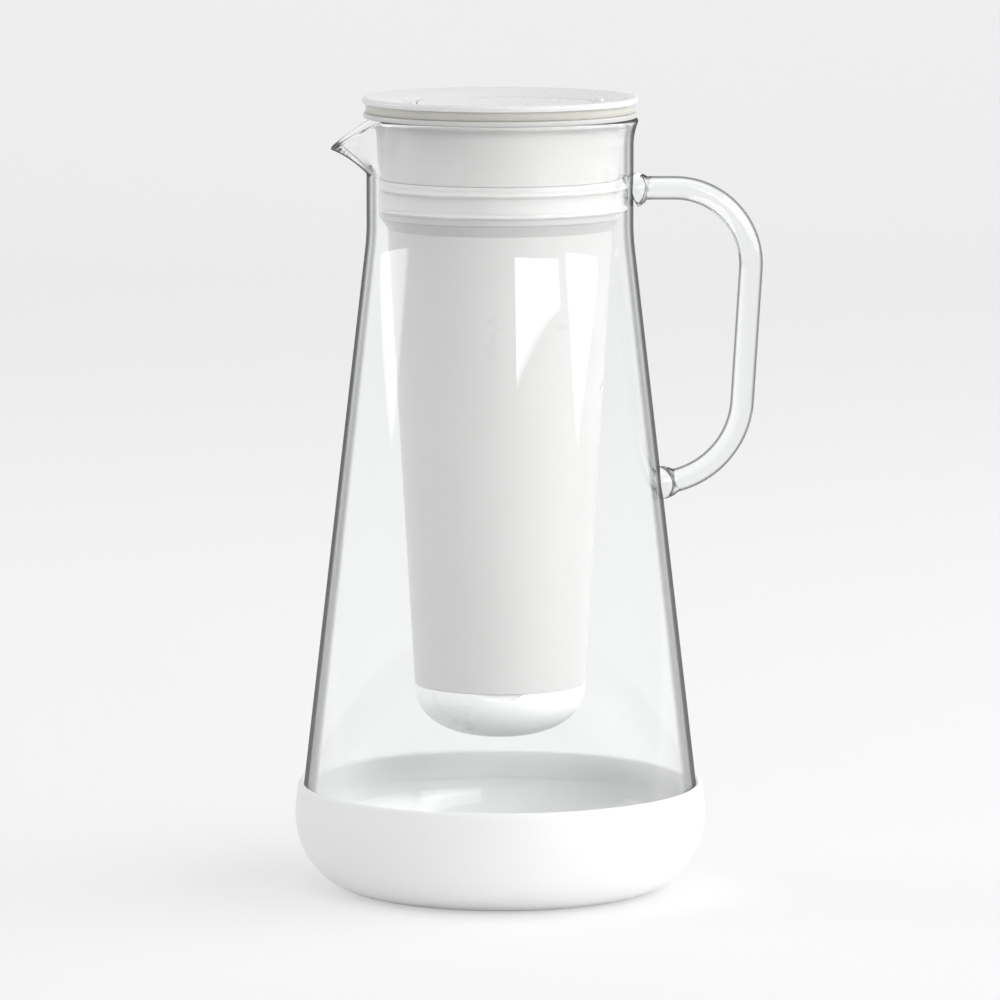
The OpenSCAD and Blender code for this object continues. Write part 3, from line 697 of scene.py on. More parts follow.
def glass_lines(g):
    """Closed section line of the glass, outside then inside, and the slope of the outer cone."""
    foot = GLASS_LOW.z
    rim = GLASS_HIGH.z
    floor = foot + g.floor_t
    corner_c = g.belly_r - g.corner_w
    corner_h = g.belly_z - foot
    fill = g.belly_wall / 3
    inner_w, inner_h = g.corner_w - fill, g.belly_z - floor
    belly_in, neck_in = g.belly_r - g.belly_wall, g.neck_r - g.neck_wall
    out = cone_slope(g, g.belly_r - g.neck_r, g.corner_w, corner_h)
    into = cone_slope(g, belly_in - neck_in, inner_w, inner_h)
    foot_ring = 1.25 * g.floor_t
    punt_r = corner_c - foot_ring
    bead = g.rim_bead / 2
    rim_r = g.neck_r + g.rim_flare

    outer = [(punt_r * u, foot + g.punt * (1 - u * u)) for u in stations(0, 1, 10)]
    corner_a = corner_end(out, g.corner_w, corner_h)
    outer += arc(corner_c, g.belly_z, g.corner_w, corner_h, -90, corner_a, 40)
    turn = shoulder_line(g, g.neck_r, out, g.shoulder_blend)
    outer = bridged(outer, turn, 24)
    walls = stations(turn[-1][1], rim - bead, 44)[1:]
    outer += [(g.neck_r + g.rim_flare * flare_at(g, z), z) for z in walls]
    outer += arc(rim_r - bead, rim - bead, bead, bead, 0, 180, 14)[1:-1]
    inner_turn = shoulder_line(g, neck_in, into, g.shoulder_blend + g.neck_wall)
    lean = rim_r - g.rim_bead - neck_in
    walls = stations(inner_turn[-1][1], rim - bead, 44)[1:]
    inner = [(neck_in + lean * flare_at(g, z), z) for z in reversed(walls)]
    inner += list(reversed(inner_turn))
    corner_a = corner_end(into, inner_w, inner_h)
    belly = arc(belly_in - inner_w, g.belly_z, inner_w, inner_h, corner_a, -90, 32)
    inner = bridged(inner, belly, 24)
    inner += [(belly[-1][0] * u, floor) for u in stations(1, 0, 6)[1:]]
    return outer + inner, out


class PITCHER_OT_glass(bpy.types.Operator):
    """Glass body with its pulled lip and the handle welded on, as one closed wall"""

    bl_idname = "pitcher.glass"
    bl_label = "Glass body and handle"

    def execute(self, context):
        g = context.scene.pitcher_glass
        rim = GLASS_HIGH.z
        line, slope = glass_lines(g)
        root = rim - g.lip_h

        def pulled(a, r, z):
            turn = a - math.pi if a > 0 else a + math.pi
            f = pull_at(g, turn, z, root)
            depth = (g.neck_r + g.rim_flare * flare_at(g, z) - r) / g.rim_bead
            fill = g.lip_fill * max(0.0, min(1.0, depth))
            return r + g.lip_reach * f, z - (g.lip_drop - fill) * f

        spread = g.lip_spread
        lip = stations(math.pi - spread, math.pi + spread, 64)
        rest = stations(math.pi + spread, 3 * math.pi - spread, 176)[1:-1]
        turns = [math.remainder(a, 2 * math.pi) for a in lip + rest]
        mesh = turned_mesh("glass_carafe", line, angles=turns, shift=pulled)
        body = add_object("glass_carafe", mesh)

        def cone_r(z):
            return g.neck_r + (g.shoulder_z - z) * slope

        path = handle_path(g, rim, cone_r)
        combine(body, self.rod(g, path, cone_r), "UNION")
        glass = glass_material(g, slope)
        set_up(body, "carafe", ["glass_body", "glass_handle"], glass, 50)
        return {"FINISHED"}

    def rod(self, g, path, cone_r):
        """Closed mesh of the handle's rod, swelling at both welds."""
        sides, bead_power = 40, 0.75
        bm = bmesh.new()
        rings = []
        for i, (x, z) in enumerate(path):
            ahead, behind = path[min(i + 1, len(path) - 1)], path[max(i - 1, 0)]
            t = (Vector(ahead) - Vector(behind)).normalized()
            gap = x - (g.neck_r if z > g.shoulder_z else cone_r(z))
            bead = max(0.0, 1 - (max(0.0, gap) / g.weld_len) ** 2) ** bead_power
            r = g.rod_d / 2 + g.weld_extra * bead
            ring = []
            for j in range(sides):
                a = 2 * math.pi * j / sides
                side, up = r * math.sin(a), r * math.cos(a)
                ring.append(bm.verts.new((x - t.y * up, side, z + t.x * up)))
            rings.append(ring)
        for low, high in zip(rings, rings[1:]):
            for j in range(sides):
                k = (j + 1) % sides
                bm.faces.new((low[j], low[k], high[k], high[j]))
        bm.faces.new(rings[0])
        bm.faces.new(rings[-1])
        bmesh.ops.recalc_face_normals(bm, faces=bm.faces)
        return finished(bm, "rod")


# ---------------------------------------------------------------- base


class PITCHER_OT_base(bpy.types.Operator):
    """Silicone base that the glass stands in"""

    bl_idname = "pitcher.base"
    bl_label = "Silicone base"

    def execute(self, context):
        g, b = context.scene.pitcher_glass, context.scene.pitcher_base
        foot = GLASS_LOW.z
        corner_c = g.belly_r - g.corner_w
        corner_h = g.belly_z - foot
        slope = cone_slope(g, g.belly_r - g.neck_r, g.corner_w, corner_h)
        outer_w = g.corner_w + b.wall
        edge = (b.wall - b.fit) / 2
        edge_z = b.top - edge
        edge_r = g.neck_r + (g.shoulder_z - edge_z) * slope + b.fit + edge
        inner_w = g.corner_w + b.fit
        under = -88
        outer_a = corner_end(slope, outer_w, g.belly_z)
        inner_a = corner_end(slope, g.corner_w, corner_h)
        line = [(corner_c * u, 0.0) for u in stations(0, 1, 6)]
        line += arc(corner_c, g.belly_z, outer_w, g.belly_z, under, outer_a, 48)
        line += arc(edge_r, edge_z, edge, edge, 0, 180, 14)
        line += arc(corner_c, g.belly_z, inner_w, corner_h, inner_a, under, 36)
        line += [(corner_c * u, foot) for u in stations(1, 0, 6)]
        obj = add_object("base_sleeve", turned_mesh("base_sleeve", line))
        set_up(obj, "carafe", ["silicone_base"], silicone_material(b))
        return {"FINISHED"}


# ---------------------------------------------------------------- reservoir and cup


def hopper_radii(g, h):
    """Radii and heights that the reservoir, the lid and the cup share."""
    rim = GLASS_HIGH.z
    neck_in = g.neck_r - g.neck_wall
    collar = neck_in - h.collar_gap
    bore_extra, gasket_rise, groove = 0.0002, 0.0004, 0.0012
    return {
        "rim": rim,
        "neck_in": neck_in,
        "collar": collar,
        "collar_in": collar - h.wall,
        "collar_z": rim - h.collar_h,
        "flange": rim + h.flange_h,
        "socket": h.low_r - h.wall + bore_extra,
        "gasket_z": rim - h.collar_h + gasket_rise,
        "groove": groove,
    }


class PITCHER_OT_reservoir(bpy.types.Operator):
    """Tapered reservoir that hangs in the neck"""

    bl_idname = "pitcher.reservoir"
    bl_label = "Reservoir"

    def execute(self, context):
        scene = context.scene
        g, h, lid = scene.pitcher_glass, scene.pitcher_hopper, scene.pitcher_lid
        k = hopper_radii(g, h)
        step_slope = 1.6
        chamfer, root, floor_step = 0.0002, 0.001, 0.002
        flange_inset, socket_end = 0.0005, 0.001
        taper_z = k["collar_z"] - h.collar_step * step_slope
        taper_r = k["collar"] - h.collar_step
        flange_r = g.neck_r + lid.over - flange_inset
        socket_z = h.seam_z + h.spigot_h + socket_end
        top = k["gasket_z"] + h.gasket_h
        points = [
            (h.low_r - chamfer, h.seam_z),
            (h.low_r, h.seam_z + chamfer),
            (taper_r, taper_z),
            (k["collar"], k["collar_z"]),
            (k["collar"], k["gasket_z"]),
            (k["collar"] - k["groove"], k["gasket_z"]),
            (k["collar"] - k["groove"], top),
            (k["collar"], top),
            (k["collar"], k["rim"] - root),
            (k["collar"] + root, k["rim"]),
            (flange_r, k["rim"]),
            (flange_r, k["flange"]),
            (k["collar_in"], k["flange"]),
            (k["collar_in"], k["collar_z"] + k["groove"]),
            (taper_r - h.wall, taper_z - h.wall),
            (k["socket"] + 2 * chamfer, socket_z + floor_step),
            (k["socket"], socket_z),
            (k["socket"], h.seam_z),
        ]
        line = loop_rounded(points, 0.0006, 5)
        obj = add_object("reservoir_shell", turned_mesh("reservoir_shell", line))
        # The reservoir's white is darkened below the cup's and the lid's: painted shade.
        white = plastic_material("white_plastic", h.plastic)
        set_up(obj, "hopper", ["reservoir"], white, 50)
        return {"FINISHED"}


class PITCHER_OT_gasket(bpy.types.Operator):
    """Finned gasket round the collar, open at the pouring lip"""

    bl_idname = "pitcher.gasket"
    bl_label = "Collar gasket"

    def execute(self, context):
        g, h = context.scene.pitcher_glass, context.scene.pitcher_hopper
        k = hopper_radii(g, h)
        fin_gap, rise, fin_t = 0.00025, 0.0008, 0.0014
        fins, fade_angle = (0.16, 0.72), math.radians(5)
        fin_r = k["neck_in"] - fin_gap
        base_r = k["collar"] + rise
        low, high = k["gasket_z"], k["gasket_z"] + h.gasket_h
        inner = k["collar"] - k["groove"]
        points = [(inner, low), (base_r, low)]
        for at in fins:
            z = low + h.gasket_h * at
            points += [(base_r, z), (fin_r, z + fin_t * 0.6)]
            points += [(fin_r, z + fin_t), (base_r, z + fin_t * 1.5)]
        points += [(base_r, high), (inner, high)]
        line = loop_rounded(points, 0.0004, 4)
        half = h.gap_spread

        def trimmed(a, r, z):
            turn = abs(math.remainder(a - math.pi, 2 * math.pi))
            fade = soft(1 - max(0.0, turn - half) / fade_angle)
            return r - max(0.0, r - base_r) * (1.0 if turn < half else fade), z

        turns = stations(math.pi - 2 * half, math.pi + 2 * half, 64)
        turns += stations(math.pi + 2 * half, 3 * math.pi - 2 * half, 144)[1:-1]
        mesh = turned_mesh("neck_gasket", line, angles=turns, shift=trimmed)
        obj = add_object("neck_gasket", mesh)
        rubber = rubber_material("neck_rubber", h.rubber, 0.1)
        set_up(obj, "hopper", ["collar_gasket"], rubber)
        return {"FINISHED"}


class PITCHER_OT_cup(bpy.types.Operator):
    """Domed filter cup under the seam, with outlet holes and a thumb notch"""

    bl_idname = "pitcher.cup"
    bl_label = "Filter cup"

    def execute(self, context):
        g, h = context.scene.pitcher_glass, context.scene.pitcher_hopper
        k = hopper_radii(g, h)
        spigot_gap, seal_gap, seal_t = 0.0003, 0.0001, 0.0014
        wall, floor_t, bowl_drop, seal_drop = 0.0008, 0.0022, 0.0046, 0.0036
        spigot_r = k["socket"] - spigot_gap
        groove_r = k["socket"] - seal_gap - seal_t
        cup_in = groove_r - wall
        cup_z = h.seam_z - h.cup_h
        bowl_z = h.seam_z - bowl_drop
        bowl_h = bowl_z - cup_z - floor_t
        top = h.seam_z + h.spigot_h
        seal = top - seal_drop
        seal_low, seal_high = seal - seal_t / 2, seal + seal_t / 2
        edge, chamfer = 0.0004, 0.0003
        line = self.dome(h.low_r, h.cup_h, h.seam_z, 48)[:-1]
        line += [(h.low_r, h.seam_z - chamfer), (h.low_r - chamfer, h.seam_z)]
        line += [(spigot_r, h.seam_z)]
        line += [(spigot_r, seal_low), (groove_r, seal_low), (groove_r, seal_high)]
        line += [(spigot_r, seal_high), (spigot_r, top - edge), (spigot_r - edge, top)]
        line += [(cup_in + chamfer, top), (cup_in, top - chamfer)]
        line += list(reversed(self.dome(cup_in, bowl_h, bowl_z, 32)))
        obj = add_object("cup_shell", turned_mesh("cup_shell", line))
        curve = ((h.notch_w / 2) ** 2 + h.notch_h**2) / (2 * h.notch_h)
        cut = 0.02
        notch = bar_mesh("notch", curve, cut, 0.0, h.seam_z - h.notch_h + curve, 160)
        notch.transform(Matrix.Translation((0, -spigot_r - cut / 2, 0)))
        combine(obj, notch, "DIFFERENCE")
        combine(obj, self.outlets(h, cup_z), "DIFFERENCE")
        combine(obj, self.ribs(h, cup_in, bowl_h, bowl_z, cup_z), "UNION")
        # The cup's white is brightened above the reservoir's: painted light.
        white = plastic_material("cup_plastic_painted_light", h.cup, 0.3)
        set_up(obj, "cup", ["filter_cup"], white, 32)
        return {"FINISHED"}

    def dome(self, width, depth, z, steps):
        """Line of the rounded bottom from the axis out to the full width."""
        power = 2 / 2.35
        turns = [math.pi / 2 * i / steps for i in range(steps + 1)]
        return [
            (width * math.sin(t) ** power if t else 0.0, z - depth * max(0.0, math.cos(t)) ** power)
            for t in turns
        ]

    def outlets(self, h, cup_z):
        """The middle outlet and the ring of outlets as one cutter."""
        ring_r, cut, middle_z = 0.011, 0.012, cup_z + 0.002
        bm = bmesh.new()
        places = [(0.0, 0.0)]
        for i in range(h.outlet_n):
            a = 2 * math.pi * i / h.outlet_n
            places.append((ring_r * math.cos(a), ring_r * math.sin(a)))
        for x, y in places:
            add_bar(bm, h.outlet_r, cut, 32, Matrix.Translation((x, y, middle_z)))
        return finished(bm, "outlets")

    def ribs(self, h, cup_in, bowl_h, bowl_z, cup_z):
        """Six ribs in the bowl that hold the cartridge off the floor."""
        count, rib_t, root, seat_drop, clear = 6, 0.0016, 0.0005, 0.0035, 0.001
        bm = bmesh.new()
        low, high = 2 * h.outlet_r + clear, cup_in
        seat = bowl_z - seat_drop
        for i in range(count):
            turn = Matrix.Rotation(2 * math.pi * (i + 0.5) / count, 4, "Z")
            size = Matrix.Diagonal((high - low, rib_t, seat - cup_z, 1))
            at = Matrix.Translation(((low + high) / 2, 0, (cup_z + seat) / 2))
            bmesh.ops.create_cube(bm, size=1.0, matrix=turn @ at @ size)
        ribs = add_object("ribs", finished(bm, "ribs"))
        line = self.dome(cup_in + root, bowl_h + root, bowl_z, 32) + [(0.0, bowl_z)]
        combine(ribs, turned_mesh("room", line, closed=False), "INTERSECT")
        return taken(ribs)


# ---------------------------------------------------------------- lid and door


def lid_sizes(g, h, lid):
    """Radii and heights that the pieces of the lid share."""
    edge_r, draft, door_gap, ledge_w = 0.0012, 0.0003, 0.0004, 0.003
    knuckle_wall, shelf_t, seal_t, band_gap = 0.0007, 0.0013, 0.0006, 0.0016
    chord_gap, hinge_sink = 0.0005, 0.0003
    k = hopper_radii(g, h)
    lid_r = g.neck_r + lid.over
    band_top = k["flange"] + lid.band_h
    top = band_top + lid.lip_h
    mouth_z = top - lid.slope_h
    slope_r = lid_r - edge_r - draft
    mouth_r = slope_r - lid.slope_w
    hinge_x = mouth_r - lid.hinge_in
    k.update(
        lid_r=lid_r,
        edge_r=edge_r,
        draft=draft,
        band_top=band_top,
        top=top,
        mouth_z=mouth_z,
        slope_r=slope_r,
        mouth_r=mouth_r,
        door_gap=door_gap,
        door_r=mouth_r - door_gap,
        ledge_in=mouth_r - ledge_w,
        hinge_x=hinge_x,
        knuckle_r=lid.pin_r + knuckle_wall,
        shelf_z=mouth_z - shelf_t,
        seal_t=seal_t,
        ledge_z=mouth_z - lid.door_t - seal_t,
        band_in=k["collar"] + band_gap,
    )
    k["bridge_x"] = -(hinge_x - k["knuckle_r"])
    k["chord_x"] = k["bridge_x"] + chord_gap
    k["hinge_z"] = dish_z(lid, k, hinge_x) - hinge_sink
    return k


def dish_z(lid, k, r):
    """Height of the dished surface at a distance from the axis."""
    return k["mouth_z"] - lid.dish * (1 - (min(r, k["door_r"]) / k["door_r"]) ** 2)


def hinge_bay(k, lid):
    """Cutter for the room that the door's knuckle and arm move in."""
    gap, arm_gap, past_top = k["door_gap"], 0.0005, 0.02
    width = lid.knuckle_w + 2 * gap
    r = k["knuckle_r"] + gap
    bay = add_object("bay", bar_mesh("bay", r, width, -k["hinge_x"], k["hinge_z"]))
    low = (-k["hinge_x"], -width / 2, k["hinge_z"] - r)
    high = (k["chord_x"] + arm_gap, width / 2, k["hinge_z"] + past_top)
    combine(bay, box_mesh("slot", low, high), "UNION")
    return taken(bay)


class PITCHER_OT_lid(bpy.types.Operator):
    """Lid ring with its slope, bridge, finger scoop and hinge ears, its seat and its gasket band"""

    bl_idname = "pitcher.lid"
    bl_label = "Lid"

    def execute(self, context):
        scene = context.scene
        g, h, lid = scene.pitcher_glass, scene.pitcher_hopper, scene.pitcher_lid
        k = lid_sizes(g, h, lid)
        white = plastic_material("lid_plastic", lid.plastic, 0.3)
        self.ring(lid, k, white)
        self.seat(lid, k, white)
        self.band(lid, k)
        return {"FINISHED"}

    def ring(self, lid, k, white):
        """Top ring and fixed bridge."""
        r, overlap, ear_w, past = k["edge_r"], 0.00002, 0.0045, 0.001
        ears_w = lid.knuckle_w + 2 * ear_w
        edge = arc(k["lid_r"] - r, k["top"] - r, r, r, 88, 0, 12)
        line = [(k["mouth_r"], k["mouth_z"]), (k["slope_r"], k["top"])]
        line += edge + [(k["lid_r"] - k["draft"], k["band_top"]), (k["band_in"], k["band_top"])]
        line += [(k["band_in"], k["shelf_z"]), (k["mouth_r"], k["shelf_z"])]
        obj = add_object("lid_ring", turned_mesh("lid_ring", line))
        bridge = add_object("bridge", self.dished(lid, k, k["mouth_r"] + overlap, k["ledge_z"]))
        ears = bar_mesh("ears", k["knuckle_r"], ears_w, -k["hinge_x"], k["hinge_z"])
        combine(bridge, ears, "UNION")
        low = (-k["mouth_r"] - past, -k["mouth_r"], k["ledge_z"])
        high = (k["bridge_x"], k["mouth_r"], k["top"])
        combine(bridge, box_mesh("side", low, high), "INTERSECT")
        combine(obj, taken(bridge), "UNION")
        combine(obj, hinge_bay(k, lid), "DIFFERENCE")
        combine(obj, self.scoop(lid, k), "DIFFERENCE")
        set_up(obj, "lid", ["lid_top"], white, 32)

    def dished(self, lid, k, radius, low):
        """Solid under the dished surface."""
        line = [(r, dish_z(lid, k, r)) for r in stations(0, radius, 40)]
        return turned_mesh("dished", line + [(radius, low), (0.0, low)], closed=False)

    def scoop(self, lid, k):
        """Ball that cuts the finger scoop into the slope."""
        r, depth, along = 0.014, 0.0006, 0.35
        run = k["slope_r"] - k["mouth_r"]
        tilt = math.atan2(lid.slope_h, run)
        middle = Vector((k["mouth_r"] + run * along, 0, k["mouth_z"] + lid.slope_h * along))
        at = middle + Vector((-math.sin(tilt), 0, math.cos(tilt))) * (r - depth)
        bm = bmesh.new()
        bmesh.ops.create_uvsphere(
            bm, u_segments=96, v_segments=64, radius=r, matrix=Matrix.Translation(at)
        )
        return finished(bm, "scoop")

    def seat(self, lid, k, white):
        """Inner ring with the ledge for the door, the skirt and the floor under the hinge."""
        skirt_gap, skirt_t, ledge_t, fit = 0.00035, 0.0016, 0.0017, 0.0001
        rest_gap, lip_w, block_t = 0.0002, 0.003, 0.0016
        skirt = k["collar_in"] - skirt_gap
        ledge_in = k["ledge_in"]
        low = k["ledge_z"] - ledge_t
        rest_z = k["flange"] + rest_gap
        skirt_z = k["flange"] - lid.skirt_h
        points = [
            (ledge_in, low),
            (ledge_in, k["ledge_z"]),
            (k["mouth_r"] + fit, k["ledge_z"]),
            (k["mouth_r"] + fit, k["shelf_z"]),
            (k["band_in"] - fit, k["shelf_z"]),
            (k["band_in"] - fit, rest_z),
            (skirt, rest_z),
            (skirt, skirt_z),
            (skirt - skirt_t, skirt_z),
            (skirt - skirt_t, low),
        ]
        obj = add_object("lid_seat", turned_mesh("lid_seat", loop_rounded(points, 0.0003, 3)))
        lip_x = k["chord_x"] + lip_w
        block_z = dish_z(lid, k, abs(lip_x)) - lid.door_t - k["door_gap"] - block_t
        half = math.acos(lip_x / ledge_in)
        turns = stations(half, 2 * math.pi - half, 60)
        ring = [(ledge_in * math.cos(a), ledge_in * math.sin(a)) for a in turns]
        combine(obj, outline_mesh("floor", ring, block_z, k["ledge_z"]), "UNION")
        combine(obj, hinge_bay(k, lid), "DIFFERENCE")
        combine(obj, self.sweep(lid, k), "DIFFERENCE")
        set_up(obj, "lid", ["lid_insert"], white, 32)

    def sweep(self, lid, k):
        """Room for the underside of the dished door."""
        past, side = 0.02, 0.05
        reach = k["ledge_in"]
        line = [(r, dish_z(lid, k, r) - lid.door_t - k["door_gap"]) for r in stations(0, reach, 30)]
        line += [(reach, k["top"]), (0.0, k["top"])]
        room = add_object("room", turned_mesh("room", line, closed=False))
        low = (k["bridge_x"], -side, k["ledge_z"] - past)
        high = (side, side, k["top"] + past)
        combine(room, box_mesh("side", low, high), "INTERSECT")
        return taken(room)

    def band(self, lid, k):
        """Warm translucent band between the flange and the lid's lip."""
        inset = 0.0013
        low, high = (k["band_in"], k["flange"]), (k["lid_r"] - inset, k["band_top"])
        points = [low, (high[0], low[1]), high, (low[0], high[1])]
        obj = add_object("lid_band", turned_mesh("lid_band", loop_rounded(points, 0.0004, 4)))
        rubber = rubber_material("band_rubber", lid.band, 0.15)
        set_up(obj, "lid", ["lid_gasket"], rubber)


class PITCHER_OT_door(bpy.types.Operator):
    """Dished flip door with its thumb tab and hinge knuckle"""

    bl_idname = "pitcher.door"
    bl_label = "Flip door"

    def execute(self, context):
        scene = context.scene
        g, h, lid = scene.pitcher_glass, scene.pitcher_hopper, scene.pitcher_lid
        k = lid_sizes(g, h, lid)
        inner_gap, edge_w = 0.0004, 0.0005
        seat_z = k["ledge_z"] + k["seal_t"]
        inner = k["ledge_in"] - inner_gap
        door_r = k["door_r"]
        line = [(r, dish_z(lid, k, r)) for r in stations(0, door_r - edge_w, 48)]
        edge = [line[-1], (door_r, k["mouth_z"]), (door_r, seat_z), (inner, seat_z)]
        line += rounded(edge, 0.0004, 5)[1:]
        line += [(r, dish_z(lid, k, r) - lid.door_t) for r in stations(inner, 0, 40)]
        obj = add_object("door_panel", turned_mesh("door_panel", line, closed=False))
        combine(obj, self.outline(k), "INTERSECT")
        combine(obj, self.tab(lid, k), "UNION")
        combine(obj, self.knuckle(lid, k), "UNION")
        bore_r, bore_w = lid.pin_r + 0.00005, 0.05
        bore = bar_mesh("bore", bore_r, bore_w, -k["hinge_x"], k["hinge_z"])
        combine(obj, bore, "DIFFERENCE")
        white = plastic_material("door_plastic", lid.plastic, 0.26)
        set_up(obj, "door", ["flip_door"], white, 32)
        return {"FINISHED"}

    def outline(self, k):
        """Prism with the door's plan, its hinge corners rounded to clear the lid."""
        corner, far_r, past = 0.012, 0.06, 0.02
        x = k["chord_x"] + corner
        y = math.sqrt((k["door_r"] - corner) ** 2 - x * x)
        turn = math.degrees(math.atan2(y, x))
        half = arc(x, y, corner, corner, 180, turn, 16)
        far = math.radians(turn)
        half += [(far_r * math.cos(far), far_r * math.sin(far)), (0.0, far_r), (far_r, far_r)]
        points = half + [(px, -py) for px, py in reversed(half)]
        return outline_mesh("outline", points, k["ledge_z"] - past, k["top"] + past)

    def tab(self, lid, k):
        """Arc of rib along the free edge that a thumb lifts."""
        inset, sink = 0.003, 0.0006
        rib = k["door_r"] - inset
        z = k["mouth_z"]
        root = z - lid.door_t + sink
        crest = z + lid.tab_h
        points = [
            (rib - 0.0014, root),
            (rib - 0.0014, z + lid.tab_h * 0.2),
            (rib, crest - 0.0003),
            (rib + 0.0005, crest),
            (rib + 0.0012, crest),
            (rib + 0.0017, crest - 0.0005),
            (rib + 0.0019, root),
        ]
        tab = add_object("tab", turned_mesh("tab", loop_rounded(points, 0.0003, 4), steps=256))
        past, half = 0.01, lid.tab_w / 2
        low, high = (rib * 0.8, -half, z - past), (rib + 0.004, half, z + past)
        combine(tab, box_mesh("span", low, high), "INTERSECT")
        return taken(tab)

    def knuckle(self, lid, k):
        """Round knuckle on the hinge line and the arm that joins it to the panel."""
        root, arm_in, past, half = 0.0002, 0.0006, 0.01, lid.knuckle_w / 2
        bar = bar_mesh("knuckle", k["knuckle_r"], lid.knuckle_w, -k["hinge_x"], k["hinge_z"])
        knuckle = add_object("knuckle", bar)
        line = [(r, dish_z(lid, k, r)) for r in stations(0, k["door_r"], 48)]
        line += [(k["door_r"], k["ledge_z"] - past), (0.0, k["ledge_z"] - past)]
        arm = add_object("arm", turned_mesh("arm", line, closed=False))
        low = (-k["hinge_x"], -half, k["hinge_z"] - k["knuckle_r"] + root)
        high = (k["chord_x"] + arm_in, half, k["top"])
        combine(arm, box_mesh("span", low, high), "INTERSECT")
        combine(knuckle, taken(arm), "UNION")
        return taken(knuckle)


class PITCHER_OT_filter(bpy.types.Operator):
    """Finishes of the cartridge, seals and pin, which keep their CAD shapes"""

    bl_idname = "pitcher.filter"
    bl_label = "Cartridge, seals and pin"

    def execute(self, context):
        h, f = context.scene.pitcher_hopper, context.scene.pitcher_filter
        shell = plastic_material("filter_plastic", f.plastic, 0.4, grain=0.00004, scale=900.0)
        rubber = rubber_material("seal_rubber", h.rubber, 0.1)
        screen = screen_material(f)
        finishes = {
            "filter_housing": shell,
            "filter_cap": shell,
            "pull_tab": rubber,
            "cup_seal": rubber,
            "filter_seal": rubber,
            "door_seal": rubber,
            "hinge_pin": steel_material(f),
            "carbon_media": carbon_material(f),
            "inlet_screen": screen,
            "outlet_screen": screen,
        }
        for node, material in finishes.items():
            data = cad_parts[node].data
            data.materials.clear()
            data.materials.append(material)
        return {"FINISHED"}


# ---------------------------------------------------------------- stage


